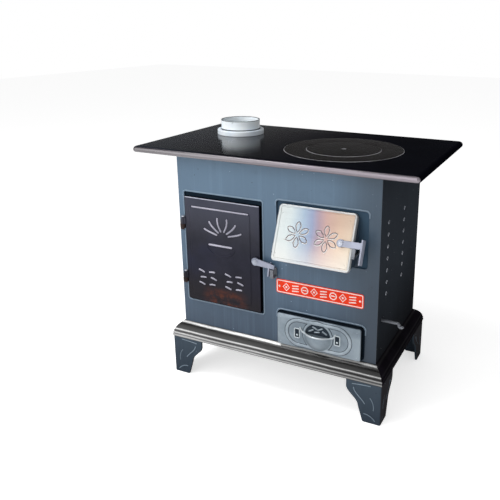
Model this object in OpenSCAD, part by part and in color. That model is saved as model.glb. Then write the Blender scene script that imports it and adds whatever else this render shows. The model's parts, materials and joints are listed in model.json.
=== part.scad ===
// Solid-fuel cooking stove: sheet-steel body on a mitred base moulding and four cast legs, with a
// wide hotplate, oven door, slanted stoking door, ash drawer and flue collar.
// Millimetres, +Z up, +X to the viewer's right, the front faces -Y. The origin lies on the floor
// under the middle of the hotplate.

/* [Hotplate] */
// Width of the hotplate at the foot of its rim
plate_w = 800; // [720:5:960]
// Depth of the hotplate at the foot of its rim
plate_d = 476; // [450:2:580]
// Thickness of the cooking surface
plate_t = 8; // [6:1:10]
// Height of the turned-down rim, measured from the cooking surface
rim_h = 17; // [14:1:24]
// Wall of the rim
rim_t = 6; // [4:0.5:8]
// How far the foot of the rim stands out past the edge of the cooking surface
rim_flare = 6; // [2:1:10]

/* [Cooking hole] */
// Distance of the cooking hole to the right of the hotplate's middle
hole_x = 133; // [125:1:145]
// Distance of the cooking hole behind the hotplate's middle
hole_y = -22; // [-30:1:0]
// Outside diameter of the cooking ring
ring_d = 322; // [270:2:340]
// Outside diameter of the lid
lid_d = 202; // [160:2:220]
// Width of the step that each ring rests on
step_w = 8; // [5:0.5:10]
// Thickness of the step
step_t = 4; // [3:0.5:5]
// Diameter of the lid's lifting hole
lift_d = 10; // [8:0.5:14]

/* [Flue] */
// Distance of the flue to the right of the hotplate's middle
flue_x = -238; // [-238:1:-200]
// Distance of the flue behind the hotplate's middle
flue_y = 66; // [40:1:80]
// Outside diameter of the spigot, which a 120 mm stove pipe slips over
spigot_d = 116; // [96:1:126]
// Wall of the spigot, whose foot is half as thick
spigot_t = 3; // [2:0.25:4]
// Height of the spigot above the hotplate
spigot_h = 43; // [36:1:80]
// Outside diameter of the collar's base ring
collar_d = 139; // [130:1:152]
// Height of the collar's base ring
collar_h = 15; // [12:1:20]
// Width of the ledge that the spigot stands on
collar_ledge = 5; // [3:0.5:8]

/* [Body] */
// Width of the body
body_w = 592; // [584:2:720]
// Depth of the body
body_d = 355; // [340:5:440]
// Height of the body, from the top of the legs to the underside of the hotplate
body_h = 561; // [550:5:680]
// Overhang of the hotplate past the front panel
front_overhang = 57; // [30:1:90]
// Thickness of the body's sheet
sheet_t = 2.5; // [2:0.25:4]
// Depth of the pressed seats around the doors and the drawer
seat_depth = 4; // [3:0.5:6]
// Width of the raised bead around a pressed seat
bead_w = 4; // [2:0.5:6]
// Height of that bead
bead_h = 1.5; // [0.5:0.25:3]

/* [Base] */
// Height of the legs
leg_h = 115; // [90:1:150]
// Width of a leg at its top
leg_w = 98; // [80:1:110]
// Width of a leg at its foot
leg_foot = 50; // [36:1:60]
// Wall of a leg
leg_t = 6; // [4:0.5:8]
// How far a leg's faces stand in from the edge of the moulding
leg_inset = 3; // [0:0.5:6]
// Height of the base moulding
mould_h = 45; // [40:1:60]
// How far the base moulding stands out of the body
mould_out = 30; // [26:1:40]
// Diameter of the leg bolts
leg_bolt_d = 8; // [6:1:8]

/* [Oven door] */
// Middle of the oven door to the right of the stove's middle
oven_x = -154; // [-158:1:-146]
// Lower edge of the oven door above the floor
oven_z = 240.5; // [235:0.5:260]
// Width of the oven door
oven_w = 235; // [196:1:240]
// Height of the oven door
oven_h = 305; // [254:1:340]
// Depth of the oven door's edge
oven_t = 12; // [10:0.5:16]
// Width of the landing that the door laps past its opening
oven_lap = 13.5; // [10:0.5:18]
// Opening depth of the oven
oven_depth = 310; // [250:5:320]

/* [Stoking door] */
// Middle of the stoking door to the right of the stove's middle
stoke_x = 133; // [128:1:138]
// Width of the stoking door
stoke_w = 213; // [178:1:225]
// Length of the stoking door, along its slope
stoke_h = 146.5; // [122:0.5:160]
// Depth of the stoking door's edge
stoke_t = 12; // [10:0.5:14]
// Lean of the stoking door away from upright
stoke_slant = 23; // [15:0.5:28]
// Height at which the slanted mouth meets the front panel
mouth_top = 554; // [540:1:570]
// Wall of the feed chute
chute_t = 5.5; // [4:0.5:7]

/* [Ash drawer] */
// Middle of the ash drawer to the right of the stove's middle
drawer_x = 138; // [132:1:142]
// Lower edge of the drawer front above the base moulding
drawer_lift = 5; // [3:0.5:8]
// Width of the drawer front
drawer_w = 240; // [200:1:244]
// Height of the drawer front
drawer_h = 91; // [84:1:92]
// How far the drawer front stands out of the front panel
drawer_proud = 15; // [10:0.5:20]
// Depth of the drawer box
drawer_depth = 280; // [230:5:285]

/* [Firebox] */
// Distance of the firebox to the right of the stove's middle
fire_x = 138; // [134:1:142]
// Width of the firebox casing
casing_w = 248; // [230:2:256]
// Depth of the firebox casing
casing_d = 256; // [220:2:260]
// Wall of the firebox casing
casing_t = 4; // [3:0.5:6]
// Thickness of the firebricks
brick_t = 30; // [20:1:34]
// Height of the grate's middle, and of the shaker rod, above the floor
rod_z = 269; // [265:1:275]
// Thickness of the grate
grate_t = 10; // [8:0.5:12]
// Travel of the grate each way
shake = 12; // [6:1:14]
// Diameter of the shaker rod
rod_d = 8; // [6:0.5:10]
// Length of the shaker rod outside the body
rod_out = 60; // [40:1:80]

/* [Side vents] */
// Number of vent holes in each column
vent_n = 7; // [3:1:8]
// Diameter of a vent hole
vent_d = 8; // [5:0.5:10]
// Pitch of the vent holes
vent_pitch = 32.5; // [20:0.5:34]

/* [Latches] */
// Thickness of the latch levers
lever_t = 4; // [3:0.5:5]
// Diameter of the latch pins
lever_pin_d = 8; // [6:0.5:9]
// Diameter of the hinge pins
hinge_pin_d = 6; // [5:0.5:7]

/* [Clearances] */
// Gap where a still piece seats on another
seat_gap = 0.3; // [0.2:0.1:0.6]
// Radial clearance of a turning pin
run_gap = 0.1; // [0.05:0.05:0.2]
// Gap around a ring in its step
ring_gap = 1; // [0.5:0.1:2]
// Gap between the sliding drawer box and the sides of its pit
slide_gap = 4; // [3:0.5:8]

/* [Hidden] */
$fn = 64;
eps = 1;                                     // overshoot of a cut

paint = "#5b6f80";
black_iron = "#2c2624";
bare_steel = "#cfd3d8";
zinc = "#c3c9d2";
cast_grey = "#8c9aa6";
brick_red = "#9b6a52";

// Levels and planes
plate_under = leg_h + body_h;
plate_top = plate_under + plate_t;
front_y = -plate_d / 2 + front_overhang;     // face of the front panel
back_y = front_y + body_d;
mid_y = front_y + body_d / 2;
pan_t = sheet_t;
floor_z = leg_h + pan_t;                     // top of the bottom pan
seat_y = front_y + seat_depth;               // face of the pressed seats
tray_y = seat_y + sheet_t;                   // back of the pressed seats
in_x = body_w / 2 - sheet_t;                 // inside face of the side panels
in_back_y = back_y - sheet_t;                // inside face of the back panel

// Pressed seats, as [middle x, low z, high z, width, corner radius]
seat_side = 5.5;
seat_above = 12.5;
oven_seat = [oven_x, oven_z - seat_side, oven_z + oven_h + seat_above,
    oven_w + 2 * seat_side, 5];
keeper_room = 28;
chute_low = mouth_top - (stoke_h - 7) * cos(stoke_slant);
stoke_seat = [stoke_x + 5, chute_low - 7, mouth_top + 14, stoke_w + keeper_room + 13, 8];
drawer_z = leg_h + mould_h + drawer_lift;
drawer_seat = [drawer_x, drawer_z - drawer_lift + 1, drawer_z + drawer_h + 4,
    drawer_w + 12, 12];

// Hinge and latch of the oven door
hinge_r = 6;
oven_hinge_x = oven_x - oven_w / 2 - 7.5;
oven_hinge_y = front_y - bead_h - hinge_r - seat_gap;
oven_hinge_zs = [oven_z + 62, oven_z + 224];
lug_h = 12;
knuckle_h = 20;
oven_face_y = seat_y - seat_gap - oven_t;
oven_pivot = [oven_x + oven_w / 2 - 10.5, oven_z + 151.5];
lever_stand = 3.3;                           // boss that lifts a lever off its door
oven_lever_y = oven_face_y - lever_stand - seat_gap;
oven_lever_drop = 7;                         // lean of the oven lever, degrees

// Hinge and latch of the stoking door, in the mouth's own frame
stoke_edge = stoke_x - stoke_w / 2;
stoke_hinge = [stoke_edge - 3.5, 6];
stoke_hinge_zs = [-118, -44];
stoke_top = 5.7;                             // top edge above the mouth line, along the slope
stoke_pivot = [stoke_x + stoke_w / 2 - 30.5, -72];
stoke_face_y = -seat_gap - stoke_t;
stoke_lever_y = stoke_face_y - lever_stand - seat_gap;
lever_tip = 57;                              // reach of the stoking lever past its pin

// Firebox levels
grate_z = rod_z - grate_t / 2;
frame_floor = grate_z - seat_gap;
frame_low = frame_floor - 7.7;
frame_top = grate_z + grate_t + 2;
casing_y = hole_y - casing_d / 2;            // front face of the casing
grate_w = casing_w - 44;
grate_d = casing_d - 8;
rod_y = casing_y + 7;
pit_floor = drawer_z + 3;
drawer_open_w = drawer_w - 12;               // opening behind the drawer front
box_w = drawer_open_w - 4;
pit_w = box_w + 2 * slide_gap + 6;           // outside width of the ash pit
box_t = 2;
box_front = seat_y - seat_gap;
box_low = pit_floor + seat_gap;
box_high = drawer_z + drawer_h - 10;
rivet_x = box_w / 2 - 24;
rivet_d = 5;
rivet_z = drawer_z + drawer_h / 2 - 1;
partition_x = -20;
hook_r = 5;                                  // bend of the shaker rod's hook
hook_turn = 160;
hook_x = in_x + sheet_t + rod_out - 3 * hook_r - rod_d / 2;

// ---------------------------------------------------------------- helpers

module block(lo, hi) translate(lo) cube(hi - lo);

// Points of a rectangle with round corners, centred on the origin
function rounded(w, h, r, n = 6) = [
    for (q = [0:3], i = [0:n])
        let (a = 90 * q + 90 * i / n, sx = (q == 0 || q == 3) ? 1 : -1, sz = q < 2 ? 1 : -1)
        [sx * (w / 2 - r) + r * cos(a), sz * (h / 2 - r) + r * sin(a)]];

// A plate that stands facing the front, from y0 back to y1, drawn in x and z
module upright(y0, y1) translate([0, y1, 0]) rotate([90, 0, 0]) linear_extrude(y1 - y0) children();

module upright_rect(x, z0, z1, w, r, y0, y1)
    upright(y0, y1) translate([x, (z0 + z1) / 2]) polygon(rounded(w, z1 - z0, r));

// A cylinder along Y from y0 back to y1
module bar_y(x, z, d, y0, y1) translate([x, y0, z]) rotate([-90, 0, 0]) cylinder(d = d, h = y1 - y0);

// A cylinder along X from x0 to x1
module bar_x(y, z, d, x0, x1) translate([x0, y, z]) rotate([0, 90, 0]) cylinder(d = d, h = x1 - x0);

// The mouth's frame: x across, -y out of the mouth, z up the slope, from the line where the
// slanted mouth meets the front panel
module on_mouth() translate([0, front_y, mouth_top]) rotate([-stoke_slant, 0, 0]) children();

// ---------------------------------------------------------------- hotplate and flue

// A rectangular frustum, from the foot (w by d) up to a top that is narrower by flare a side
module frustum(w, d, h, flare) intersection() {
    rotate([90, 0, 0]) linear_extrude(2 * d, center = true)
        polygon([[-w / 2, 0], [w / 2, 0], [w / 2 - flare, h], [-w / 2 + flare, h]]);
    rotate([90, 0, 90]) linear_extrude(2 * w, center = true)
        polygon([[-d / 2, 0], [d / 2, 0], [d / 2 - flare, h], [-d / 2 + flare, h]]);
}

// A stepped round hole for a ring of outside diameter d, cut from the cooking surface
module stepped_hole(d) translate([hole_x, hole_y, plate_top]) {
    translate([0, 0, -step_t]) cylinder(d = d + 2 * ring_gap, h = step_t + eps, $fn = 128);
    translate([0, 0, -plate_t - eps])
        cylinder(d = d + 2 * ring_gap - 2 * step_w, h = plate_t + 2 * eps, $fn = 128);
}

// The disc that fits that hole, with its own step resting on the step below
module stepped_disc(d) translate([hole_x, hole_y, plate_top]) {
    translate([0, 0, -step_t + seat_gap]) cylinder(d = d, h = step_t - seat_gap, $fn = 128);
    translate([0, 0, -plate_t]) cylinder(d = d - 2 * step_w, h = plate_t - eps, $fn = 128);
}

collar_screw_d = 5;
flue_bore = spigot_d - 2 * collar_ledge;
foot_d = spigot_d - spigot_t;                // the spigot's foot, inside the collar's ring
spigot_foot = plate_top + collar_h - 10;     // ledge that it stands on

module collar_screw_places() {
    screw_r = (collar_d + foot_d) / 4;
    for (i = [0:2])
        translate([flue_x, flue_y, 0]) rotate([0, 0, 120 * i]) translate([screw_r, 0, 0]) children();
}

module hotplate() color(black_iron) difference() {
    translate([0, 0, plate_top - rim_h]) frustum(plate_w, plate_d, rim_h, rim_flare);
    translate([0, 0, plate_under - (rim_h - plate_t) - eps])
        frustum(plate_w - 2 * rim_t, plate_d - 2 * rim_t, rim_h - plate_t + eps,
            rim_flare * (rim_h - plate_t) / rim_h);
    stepped_hole(ring_d);
    translate([flue_x, flue_y, plate_under - eps])
        cylinder(d = flue_bore, h = plate_t + 2 * eps, $fn = 128);
    collar_screw_places() translate([0, 0, plate_under - eps])
        cylinder(d = collar_screw_d + 2 * seat_gap, h = plate_t + 2 * eps);
}

module cooking_ring() color(black_iron) difference() {
    stepped_disc(ring_d);
    stepped_hole(lid_d);
}

module cooking_lid() color(black_iron) difference() {
    stepped_disc(lid_d);
    translate([hole_x, hole_y, plate_under - eps]) cylinder(d = lift_d, h = plate_t + 2 * eps);
}

module collar_ring() color(zinc) difference() {
    translate([flue_x, flue_y, plate_top]) cylinder(d = collar_d, h = collar_h, $fn = 128);
    translate([flue_x, flue_y, plate_top - eps])
        cylinder(d = flue_bore, h = collar_h + 2 * eps, $fn = 128);
    translate([flue_x, flue_y, spigot_foot])
        cylinder(d = foot_d + 2 * seat_gap, h = collar_h, $fn = 128);
    collar_screw_places() translate([0, 0, plate_top - eps])
        cylinder(d = collar_screw_d, h = 9);
}

module flue_spigot() color(zinc) translate([flue_x, flue_y, 0]) rotate_extrude($fn = 128)
    polygon([[spigot_d / 2 - spigot_t, spigot_foot], [foot_d / 2, spigot_foot],
        [foot_d / 2, plate_top + collar_h], [spigot_d / 2, plate_top + collar_h],
        [spigot_d / 2, plate_top + spigot_h - 2], [spigot_d / 2 - 1, plate_top + spigot_h],
        [spigot_d / 2 - spigot_t, plate_top + spigot_h]]);

module collar_screws() color(zinc) collar_screw_places() {
    translate([0, 0, plate_under - 3.5]) cylinder(d = 9, h = 3.5);
    translate([0, 0, plate_under - eps]) cylinder(d = collar_screw_d, h = plate_t + 8);
}

// ---------------------------------------------------------------- body

module seat_bead(s) difference() {
    upright_rect(s[0], s[1] - bead_w, s[2] + bead_w, s[3] + 2 * bead_w, s[4] + bead_w,
        front_y - bead_h, front_y + sheet_t);
    upright_rect(s[0], s[1], s[2], s[3], s[4], front_y - bead_h - eps, front_y + sheet_t + eps);
}

// The pressed tray behind a seat
module seat_tray(s) upright_rect(s[0], s[1] - sheet_t, s[2] + sheet_t, s[3] + 2 * sheet_t,
    s[4] + sheet_t, front_y, tray_y);

module seat_cut(s) upright_rect(s[0], s[1], s[2], s[3], s[4], front_y - bead_h - eps, seat_y);

module front_panel() color(paint) difference() {
    union() {
        block([-body_w / 2, front_y, floor_z], [body_w / 2, front_y + sheet_t, plate_under]);
        seat_tray(oven_seat);
        seat_tray(stoke_seat);
        seat_tray(drawer_seat);
        seat_bead(oven_seat);
        intersection() {                     // these two beads show above their doors only
            union() {
                seat_bead(stoke_seat);
                seat_bead(drawer_seat);
            }
            for (s = [stoke_seat, drawer_seat])
                block([s[0] - s[3], front_y - 5, s[2] - 2 * s[4]],
                    [s[0] + s[3], tray_y, s[2] + 2 * bead_w]);
        }
    }
    seat_cut(oven_seat);
    seat_cut(stoke_seat);
    seat_cut(drawer_seat);
    upright_rect(oven_x, oven_z + oven_lap, oven_z + oven_h - oven_lap, oven_w - 2 * oven_lap, 4,
        front_y, tray_y + eps);
    block([stoke_x - chute_w / 2 - seat_gap, front_y, chute_low - seat_gap],
        [stoke_x + chute_w / 2 + seat_gap, tray_y + eps, mouth_top]);
    upright_rect(drawer_x, pit_floor, box_high + 3, drawer_open_w, 1, front_y, tray_y + eps);
}

vent_low = floor_z + 216.5;
vent_ys = [front_y + 64, front_y + 202];

module side_sheet() block([in_x, front_y + sheet_t, floor_z],
    [in_x + sheet_t, in_back_y, plate_under]);

module right_panel() color(paint) difference() {
    side_sheet();
    for (y = vent_ys, i = [0:vent_n - 1])
        bar_x(y, vent_low + i * vent_pitch, vent_d, in_x - eps, in_x + sheet_t + eps);
    bar_x(rod_y, rod_z, rod_d + 4, in_x - eps, in_x + sheet_t + eps);
}

module left_panel() color(paint) mirror([1, 0, 0]) side_sheet();

module back_panel() color(paint)
    block([-body_w / 2, in_back_y, floor_z], [body_w / 2, back_y, plate_under]);

module bottom_pan() color(paint) difference() {
    block([-body_w / 2, front_y, leg_h], [body_w / 2, back_y, floor_z]);
    leg_bolt_places() translate([0, 0, leg_h - eps])
        cylinder(d = leg_bolt_d + 2 * seat_gap, h = pan_t + 2 * eps);
}

// ---------------------------------------------------------------- base moulding and legs

// Points of a shallow bow from a to b, which stands sag out of the straight line in its middle
function bow(a, b, sag, n) =
    let (out = [a[1] - b[1], b[0] - a[0]] / norm(b - a))
    [for (i = [0:n]) a + (b - a) * i / n + out * sag * 4 * (i / n) * (1 - i / n)];

// Section of the moulding, x out of the body and y up from its foot: an ovolo over two reeds
mould_foot = 8;                              // thickness at the foot
mould_section = concat(
    [[0, mould_h], [2, mould_h]],
    bow([3, mould_h - 1], [mould_out - 4, mould_h - 27.5], 3.4, 8),
    [[mould_out - 5.4, mould_h - 28.5], [mould_out - 5.4, mould_h - 29.5]],
    bow([mould_out - 3.6, mould_h - 30], [mould_out - 3, mould_h - 35.5], 1.1, 4),
    bow([mould_out - 3, mould_h - 36.4], [mould_out - 2.6, 2.4], 1.4, 4),
    [[mould_out - leg_inset, 0], [mould_out - mould_foot, 0], [mould_out - mould_foot, mould_h - 30],
        [mould_out - mould_foot - 1.5, mould_h - 24], [mould_out - mould_foot - 6.5, mould_h - 16.5],
        [mould_out - mould_foot - 16, mould_h - 7], [0, mould_h - 4.5]]);

// A strip of the moulding along X at distance off in front of the middle, mitred at both ends
module moulding(len, off) translate([0, mid_y, leg_h]) intersection() {
    translate([-len, -off, 0]) rotate([90, 0, 90]) linear_extrude(2 * len)
        mirror([1, 0]) polygon(mould_section);
    translate([0, 0, -eps]) linear_extrude(mould_h + 2 * eps)
        polygon([[-len / 2, -off], [len / 2, -off], [len / 2 + 2 * mould_out, -off - 2 * mould_out],
            [-len / 2 - 2 * mould_out, -off - 2 * mould_out]]);
}

// Turns a child about the upright line through the middle of the body
module about_middle(a) translate([0, mid_y, 0]) rotate([0, 0, a]) translate([0, -mid_y, 0])
    children();

module moulding_front() color(black_iron) moulding(body_w, body_d / 2);
module moulding_back() color(black_iron) about_middle(180) moulding(body_w, body_d / 2);
module moulding_right() color(black_iron) about_middle(90) moulding(body_d, body_w / 2);
module moulding_left() color(black_iron) about_middle(-90) moulding(body_d, body_w / 2);

leg_x = body_w / 2 + mould_out - leg_inset;
leg_y = body_d / 2 + mould_out - leg_inset;

// Width of a leg at height z: a straight shin, an ogee and a straight top
function leg_width(z) =
    let (shin = 0.4 * leg_h, calf = 0.84 * leg_h, knee_w = leg_foot + 14)
    z < shin ? leg_foot + (knee_w - leg_foot) * z / shin
    : z > calf ? leg_w
    : knee_w + (leg_w - knee_w) * (1 - cos(180 * (z - shin) / (calf - shin))) / 2;

leg_steps = 14;
leg_outline = concat([[0, 0]],
    [for (i = [0:leg_steps]) [leg_width(leg_h * i / leg_steps), leg_h * i / leg_steps]],
    [[0, leg_h]]);

// The leg bolts stand just inside the body's walls, measured from the leg's outer corner
leg_bolt_near = mould_out - leg_inset + sheet_t + 0.9 * leg_bolt_d + 1;
leg_bolt_spots = [[leg_bolt_near + 12.5, leg_bolt_near], [leg_bolt_near, leg_bolt_near + 12.5]];

// The front left leg, its outer corner on the origin, running to +x and +y
module leg() difference() {
    union() {
        translate([0, leg_t, 0]) rotate([90, 0, 0]) linear_extrude(leg_t) polygon(leg_outline);
        rotate([90, 0, 90]) linear_extrude(leg_t) polygon(leg_outline);
        translate([0, 0, leg_h - leg_t]) linear_extrude(leg_t)
            polygon([[0, 0], [leg_w, 0], [leg_w, leg_w / 3], [leg_w / 3, leg_w], [0, leg_w]]);
    }
    for (p = leg_bolt_spots) translate([p[0], p[1], leg_h - leg_t - eps])
        cylinder(d = leg_bolt_d + 2 * seat_gap, h = leg_t + 2 * eps);
}

// Places a child at the corner sx, sy of the base, mirrored so that it runs inward
module at_corner(sx, sy) translate([sx * leg_x, mid_y + sy * leg_y, 0])
    mirror([sx > 0 ? 1 : 0, 0, 0]) mirror([0, sy > 0 ? 1 : 0, 0]) children();

module leg_bolt_places() for (sx = [-1, 1], sy = [-1, 1], p = leg_bolt_spots)
    at_corner(sx, sy) translate([p[0], p[1], 0]) children();

module leg_front_left() color(paint) at_corner(-1, -1) leg();
module leg_front_right() color(paint) at_corner(1, -1) leg();
module leg_back_left() color(paint) at_corner(-1, 1) leg();
module leg_back_right() color(paint) at_corner(1, 1) leg();

nut_h = 0.8 * leg_bolt_d;

module leg_bolts() color(zinc) leg_bolt_places() {
    translate([0, 0, leg_h - leg_t - 5]) cylinder(d = 1.8 * leg_bolt_d, h = 5, $fn = 6);
    translate([0, 0, leg_h - leg_t - eps]) cylinder(d = leg_bolt_d, h = leg_t + pan_t + nut_h + 3);
}

module leg_nuts() color(zinc) leg_bolt_places() difference() {
    translate([0, 0, floor_z]) cylinder(d = 1.8 * leg_bolt_d, h = nut_h, $fn = 6);
    translate([0, 0, floor_z - eps]) cylinder(d = leg_bolt_d + run_gap, h = nut_h + 2 * eps);
}

// ---------------------------------------------------------------- oven door

panel_h = 2;                                 // height of the door's raised panel
bar_w = 4;                                   // width of the raised bars

// Raised fan and bars of the oven door, a plain motif in x and z about the panel's middle
module oven_motif() {
    for (a = [-60:20:60]) rotate(a) translate([-bar_w / 2, 22]) square([bar_w, 46]);
    circle(r = 14);
    for (i = [0:2]) translate([-50 + 12 * i, -62 - 16 * i]) square([100 - 24 * i, 1.5 * bar_w]);
}

module oven_door() color(black_iron) difference() {
    union() {
        upright_rect(oven_x, oven_z, oven_z + oven_h, oven_w, 3, oven_face_y,
            seat_y - seat_gap);
        upright_rect(oven_x - 6, oven_z + 16, oven_z + oven_h - 26, oven_w - 45, 6,
            oven_face_y - panel_h, oven_face_y + eps);
        upright(oven_face_y - 2 * panel_h, oven_face_y - panel_h + eps)
            translate([oven_x - 6, oven_z + oven_h / 2 + 10]) oven_motif();
        bar_y(oven_pivot[0], oven_pivot[1], 18, oven_face_y - lever_stand, oven_face_y + eps);
        for (z = oven_hinge_zs) {
            translate([oven_hinge_x, oven_hinge_y, z + seat_gap]) cylinder(r = hinge_r, h = knuckle_h);
            block([oven_hinge_x, oven_hinge_y - 3, z + seat_gap],
                [oven_hinge_x + 9, oven_hinge_y + 3, z + seat_gap + knuckle_h]);
        }
    }
    upright_rect(oven_x, oven_z + 10, oven_z + oven_h - 10, oven_w - 20, 3, oven_face_y + 5,
        seat_y + eps);
    bar_y(oven_pivot[0], oven_pivot[1], lever_pin_d, oven_face_y - lever_stand - eps, seat_y);
    bar_y(oven_pivot[0], oven_pivot[1], 2 * lever_pin_d, oven_face_y + 5, seat_y);
    for (z = oven_hinge_zs) translate([oven_hinge_x, oven_hinge_y, z - eps])
        cylinder(d = hinge_pin_d + 2 * run_gap, h = knuckle_h + 3 * eps);
}

lug_x = oven_x - oven_w / 2 - seat_side - bead_w - seat_gap;

module oven_hinge_lugs() color(black_iron) for (z = oven_hinge_zs) difference() {
    union() {
        translate([oven_hinge_x, oven_hinge_y, z - lug_h]) cylinder(r = hinge_r, h = lug_h);
        block([lug_x - 7, oven_hinge_y - 3, z - lug_h], [lug_x, front_y, z]);
        block([lug_x - 13, front_y - bead_h, z - lug_h - 8], [lug_x, front_y, z + 8]);
    }
    translate([oven_hinge_x, oven_hinge_y, z - lug_h - eps])
        cylinder(d = hinge_pin_d, h = lug_h + 2 * eps);
}

module hinge_pin(z) {
    translate([0, 0, z - lug_h]) cylinder(d = hinge_pin_d, h = lug_h + knuckle_h + 2);
    translate([0, 0, z + knuckle_h + 1]) cylinder(d = hinge_pin_d + 3, h = 3);
}

module oven_hinge_pins() color(zinc) for (z = oven_hinge_zs)
    translate([oven_hinge_x, oven_hinge_y, 0]) hinge_pin(z);

oven_arm = 44;                               // pin to the far side of the lever's end plate
tongue = 14;                                 // tongue past that plate
tongue_half = 6;

module oven_lever() color(zinc) difference() {
    translate([oven_pivot[0], 0, oven_pivot[1]]) rotate([0, oven_lever_drop, 0]) {
        upright(oven_lever_y - lever_t, oven_lever_y) {
            circle(r = 11);
            polygon([[0, -9.5], [oven_arm, -7], [oven_arm, 7], [0, 9.5]]);
            translate([oven_arm - eps, -tongue_half]) square([tongue + eps, 2 * tongue_half]);
        }
        block([oven_arm - lever_t, oven_lever_y - lever_t, -31],
            [oven_arm, front_y - 3, 7]);
    }
    bar_y(oven_pivot[0], oven_pivot[1], lever_pin_d + 2 * run_gap, oven_lever_y - lever_t - eps,
        oven_lever_y + eps);
}

// A shoulder rivet along Y: its head in front of a lever whose front face is at y, its tail
// behind a plate whose back face is at tail_y
module latch_pin(y, tail_y) {
    bar_y(0, 0, lever_pin_d, y - eps, tail_y + eps);
    bar_y(0, 0, 1.7 * lever_pin_d, y - seat_gap - 2, y - seat_gap);
    bar_y(0, 0, 0.9 * lever_pin_d, y - seat_gap - 3.5, y - seat_gap);
    bar_y(0, 0, 1.6 * lever_pin_d, tail_y, tail_y + 2.5);
}

module oven_lever_pin() color(zinc) translate([oven_pivot[0], 0, oven_pivot[1]])
    latch_pin(oven_lever_y - lever_t, oven_face_y + 5);

lip_t = 3.2;
lip_gap = 1;                                 // a latched lever to its lip
oven_lip_z = oven_pivot[1] - (oven_arm + tongue) * sin(oven_lever_drop)
    - tongue_half * cos(oven_lever_drop) - 2 * seat_gap;
oven_keeper_x = oven_pivot[0] + oven_arm * cos(oven_lever_drop) + 3;

module oven_keeper() color(zinc) {
    lip_y = oven_lever_y - lever_t - lip_gap;
    block([oven_keeper_x - 2, front_y - 3, oven_lip_z - 26],
        [oven_keeper_x + 12, front_y, oven_lip_z + 1]);
    block([oven_keeper_x, lip_y - lip_t, oven_lip_z - 24],
        [oven_keeper_x + 10, front_y, oven_lip_z - 20]);
    block([oven_keeper_x, lip_y - lip_t, oven_lip_z - 24], [oven_keeper_x + 10, lip_y, oven_lip_z]);
}

// ---------------------------------------------------------------- oven

oven_in_w = oven_w - 2 * oven_lap;
oven_in_low = oven_z + oven_lap;
oven_in_high = oven_z + oven_h - oven_lap;
oven_back_y = tray_y + oven_depth;

module oven_box() color(cast_grey) difference() {
    union() {
        block([oven_x - oven_in_w / 2 - 2, tray_y, oven_in_low - 2],
            [oven_x + oven_in_w / 2 + 2, oven_back_y, oven_in_high + 2]);
        block([oven_x - oven_in_w / 2 - 12, tray_y, oven_in_low - 12],
            [oven_x + oven_in_w / 2 + 12, tray_y + 2, oven_in_high + 12]);
    }
    block([oven_x - oven_in_w / 2, tray_y - eps, oven_in_low],
        [oven_x + oven_in_w / 2, oven_back_y - 2, oven_in_high]);
}

rail_ys = [tray_y + 60, oven_back_y - 60];
module oven_rails() color(cast_grey) for (y = rail_ys) {
    block([-in_x, y, oven_in_low - 5], [partition_x, y + 25, oven_in_low - 2]);
    block([-in_x, y, oven_in_low - 27], [partition_x, y + 3, oven_in_low - 2]);
}

shelf_z = (oven_in_low + oven_in_high) / 2;
// The shelf and the two ledges welded under it, which stand on the oven's floor
module oven_shelf() color(cast_grey) {
    leg_x0 = oven_in_w / 2 - 2;
    block([oven_x - leg_x0, tray_y + 20, shelf_z], [oven_x + leg_x0, oven_back_y - 12, shelf_z + 2]);
    for (s = [-1, 1]) translate([oven_x + s * (leg_x0 - 1), 0, 0])
        block([-1, tray_y + 20, oven_in_low + seat_gap], [1, oven_back_y - 12, shelf_z + 1]);
}

module partition() color(cast_grey) block([partition_x, front_y + sheet_t, floor_z],
    [partition_x + 3, in_back_y, oven_in_high + 60]);

// ---------------------------------------------------------------- feed chute and stoking door

chute_w = stoke_w - 2 * 7;

module chute_wedge() {
    drop = mouth_top - chute_low;
    translate([stoke_x - chute_w / 2, 0, 0]) rotate([90, 0, 90]) linear_extrude(chute_w)
        polygon([[front_y, mouth_top], [front_y - drop * tan(stoke_slant), chute_low],
            [seat_y, chute_low], [seat_y, mouth_top]]);
}

module feed_chute() color(paint) difference() {
    union() {
        chute_wedge();
        block([stoke_x - chute_w / 2 - 6, front_y, chute_low - 5],
            [stoke_x + chute_w / 2 + 6, seat_y, mouth_top - 1]);
        block([stoke_x - chute_w / 2, front_y, chute_low],
            [stoke_x + chute_w / 2, casing_y - seat_gap, mouth_top - 1]);
        on_mouth() for (z = stoke_hinge_zs) translate([0, 0, z]) {
            translate([stoke_hinge[0], stoke_hinge[1], -lug_h]) cylinder(r = hinge_r - 1, h = lug_h);
            block([stoke_hinge[0], 2, -lug_h], [stoke_x - chute_w / 2 + 2, 10, 0]);
        }
    }
    block([stoke_x - chute_w / 2 + chute_t, front_y - 100, chute_low + chute_t],
        [stoke_x + chute_w / 2 - chute_t, casing_y + eps, mouth_top - chute_t]);
    on_mouth() for (z = stoke_hinge_zs)
        translate([stoke_hinge[0], stoke_hinge[1], z - lug_h - eps])
            cylinder(d = hinge_pin_d, h = lug_h + 2 * eps);
}

stoke_rim = 12;                              // landing of the door on the mouth

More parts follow.
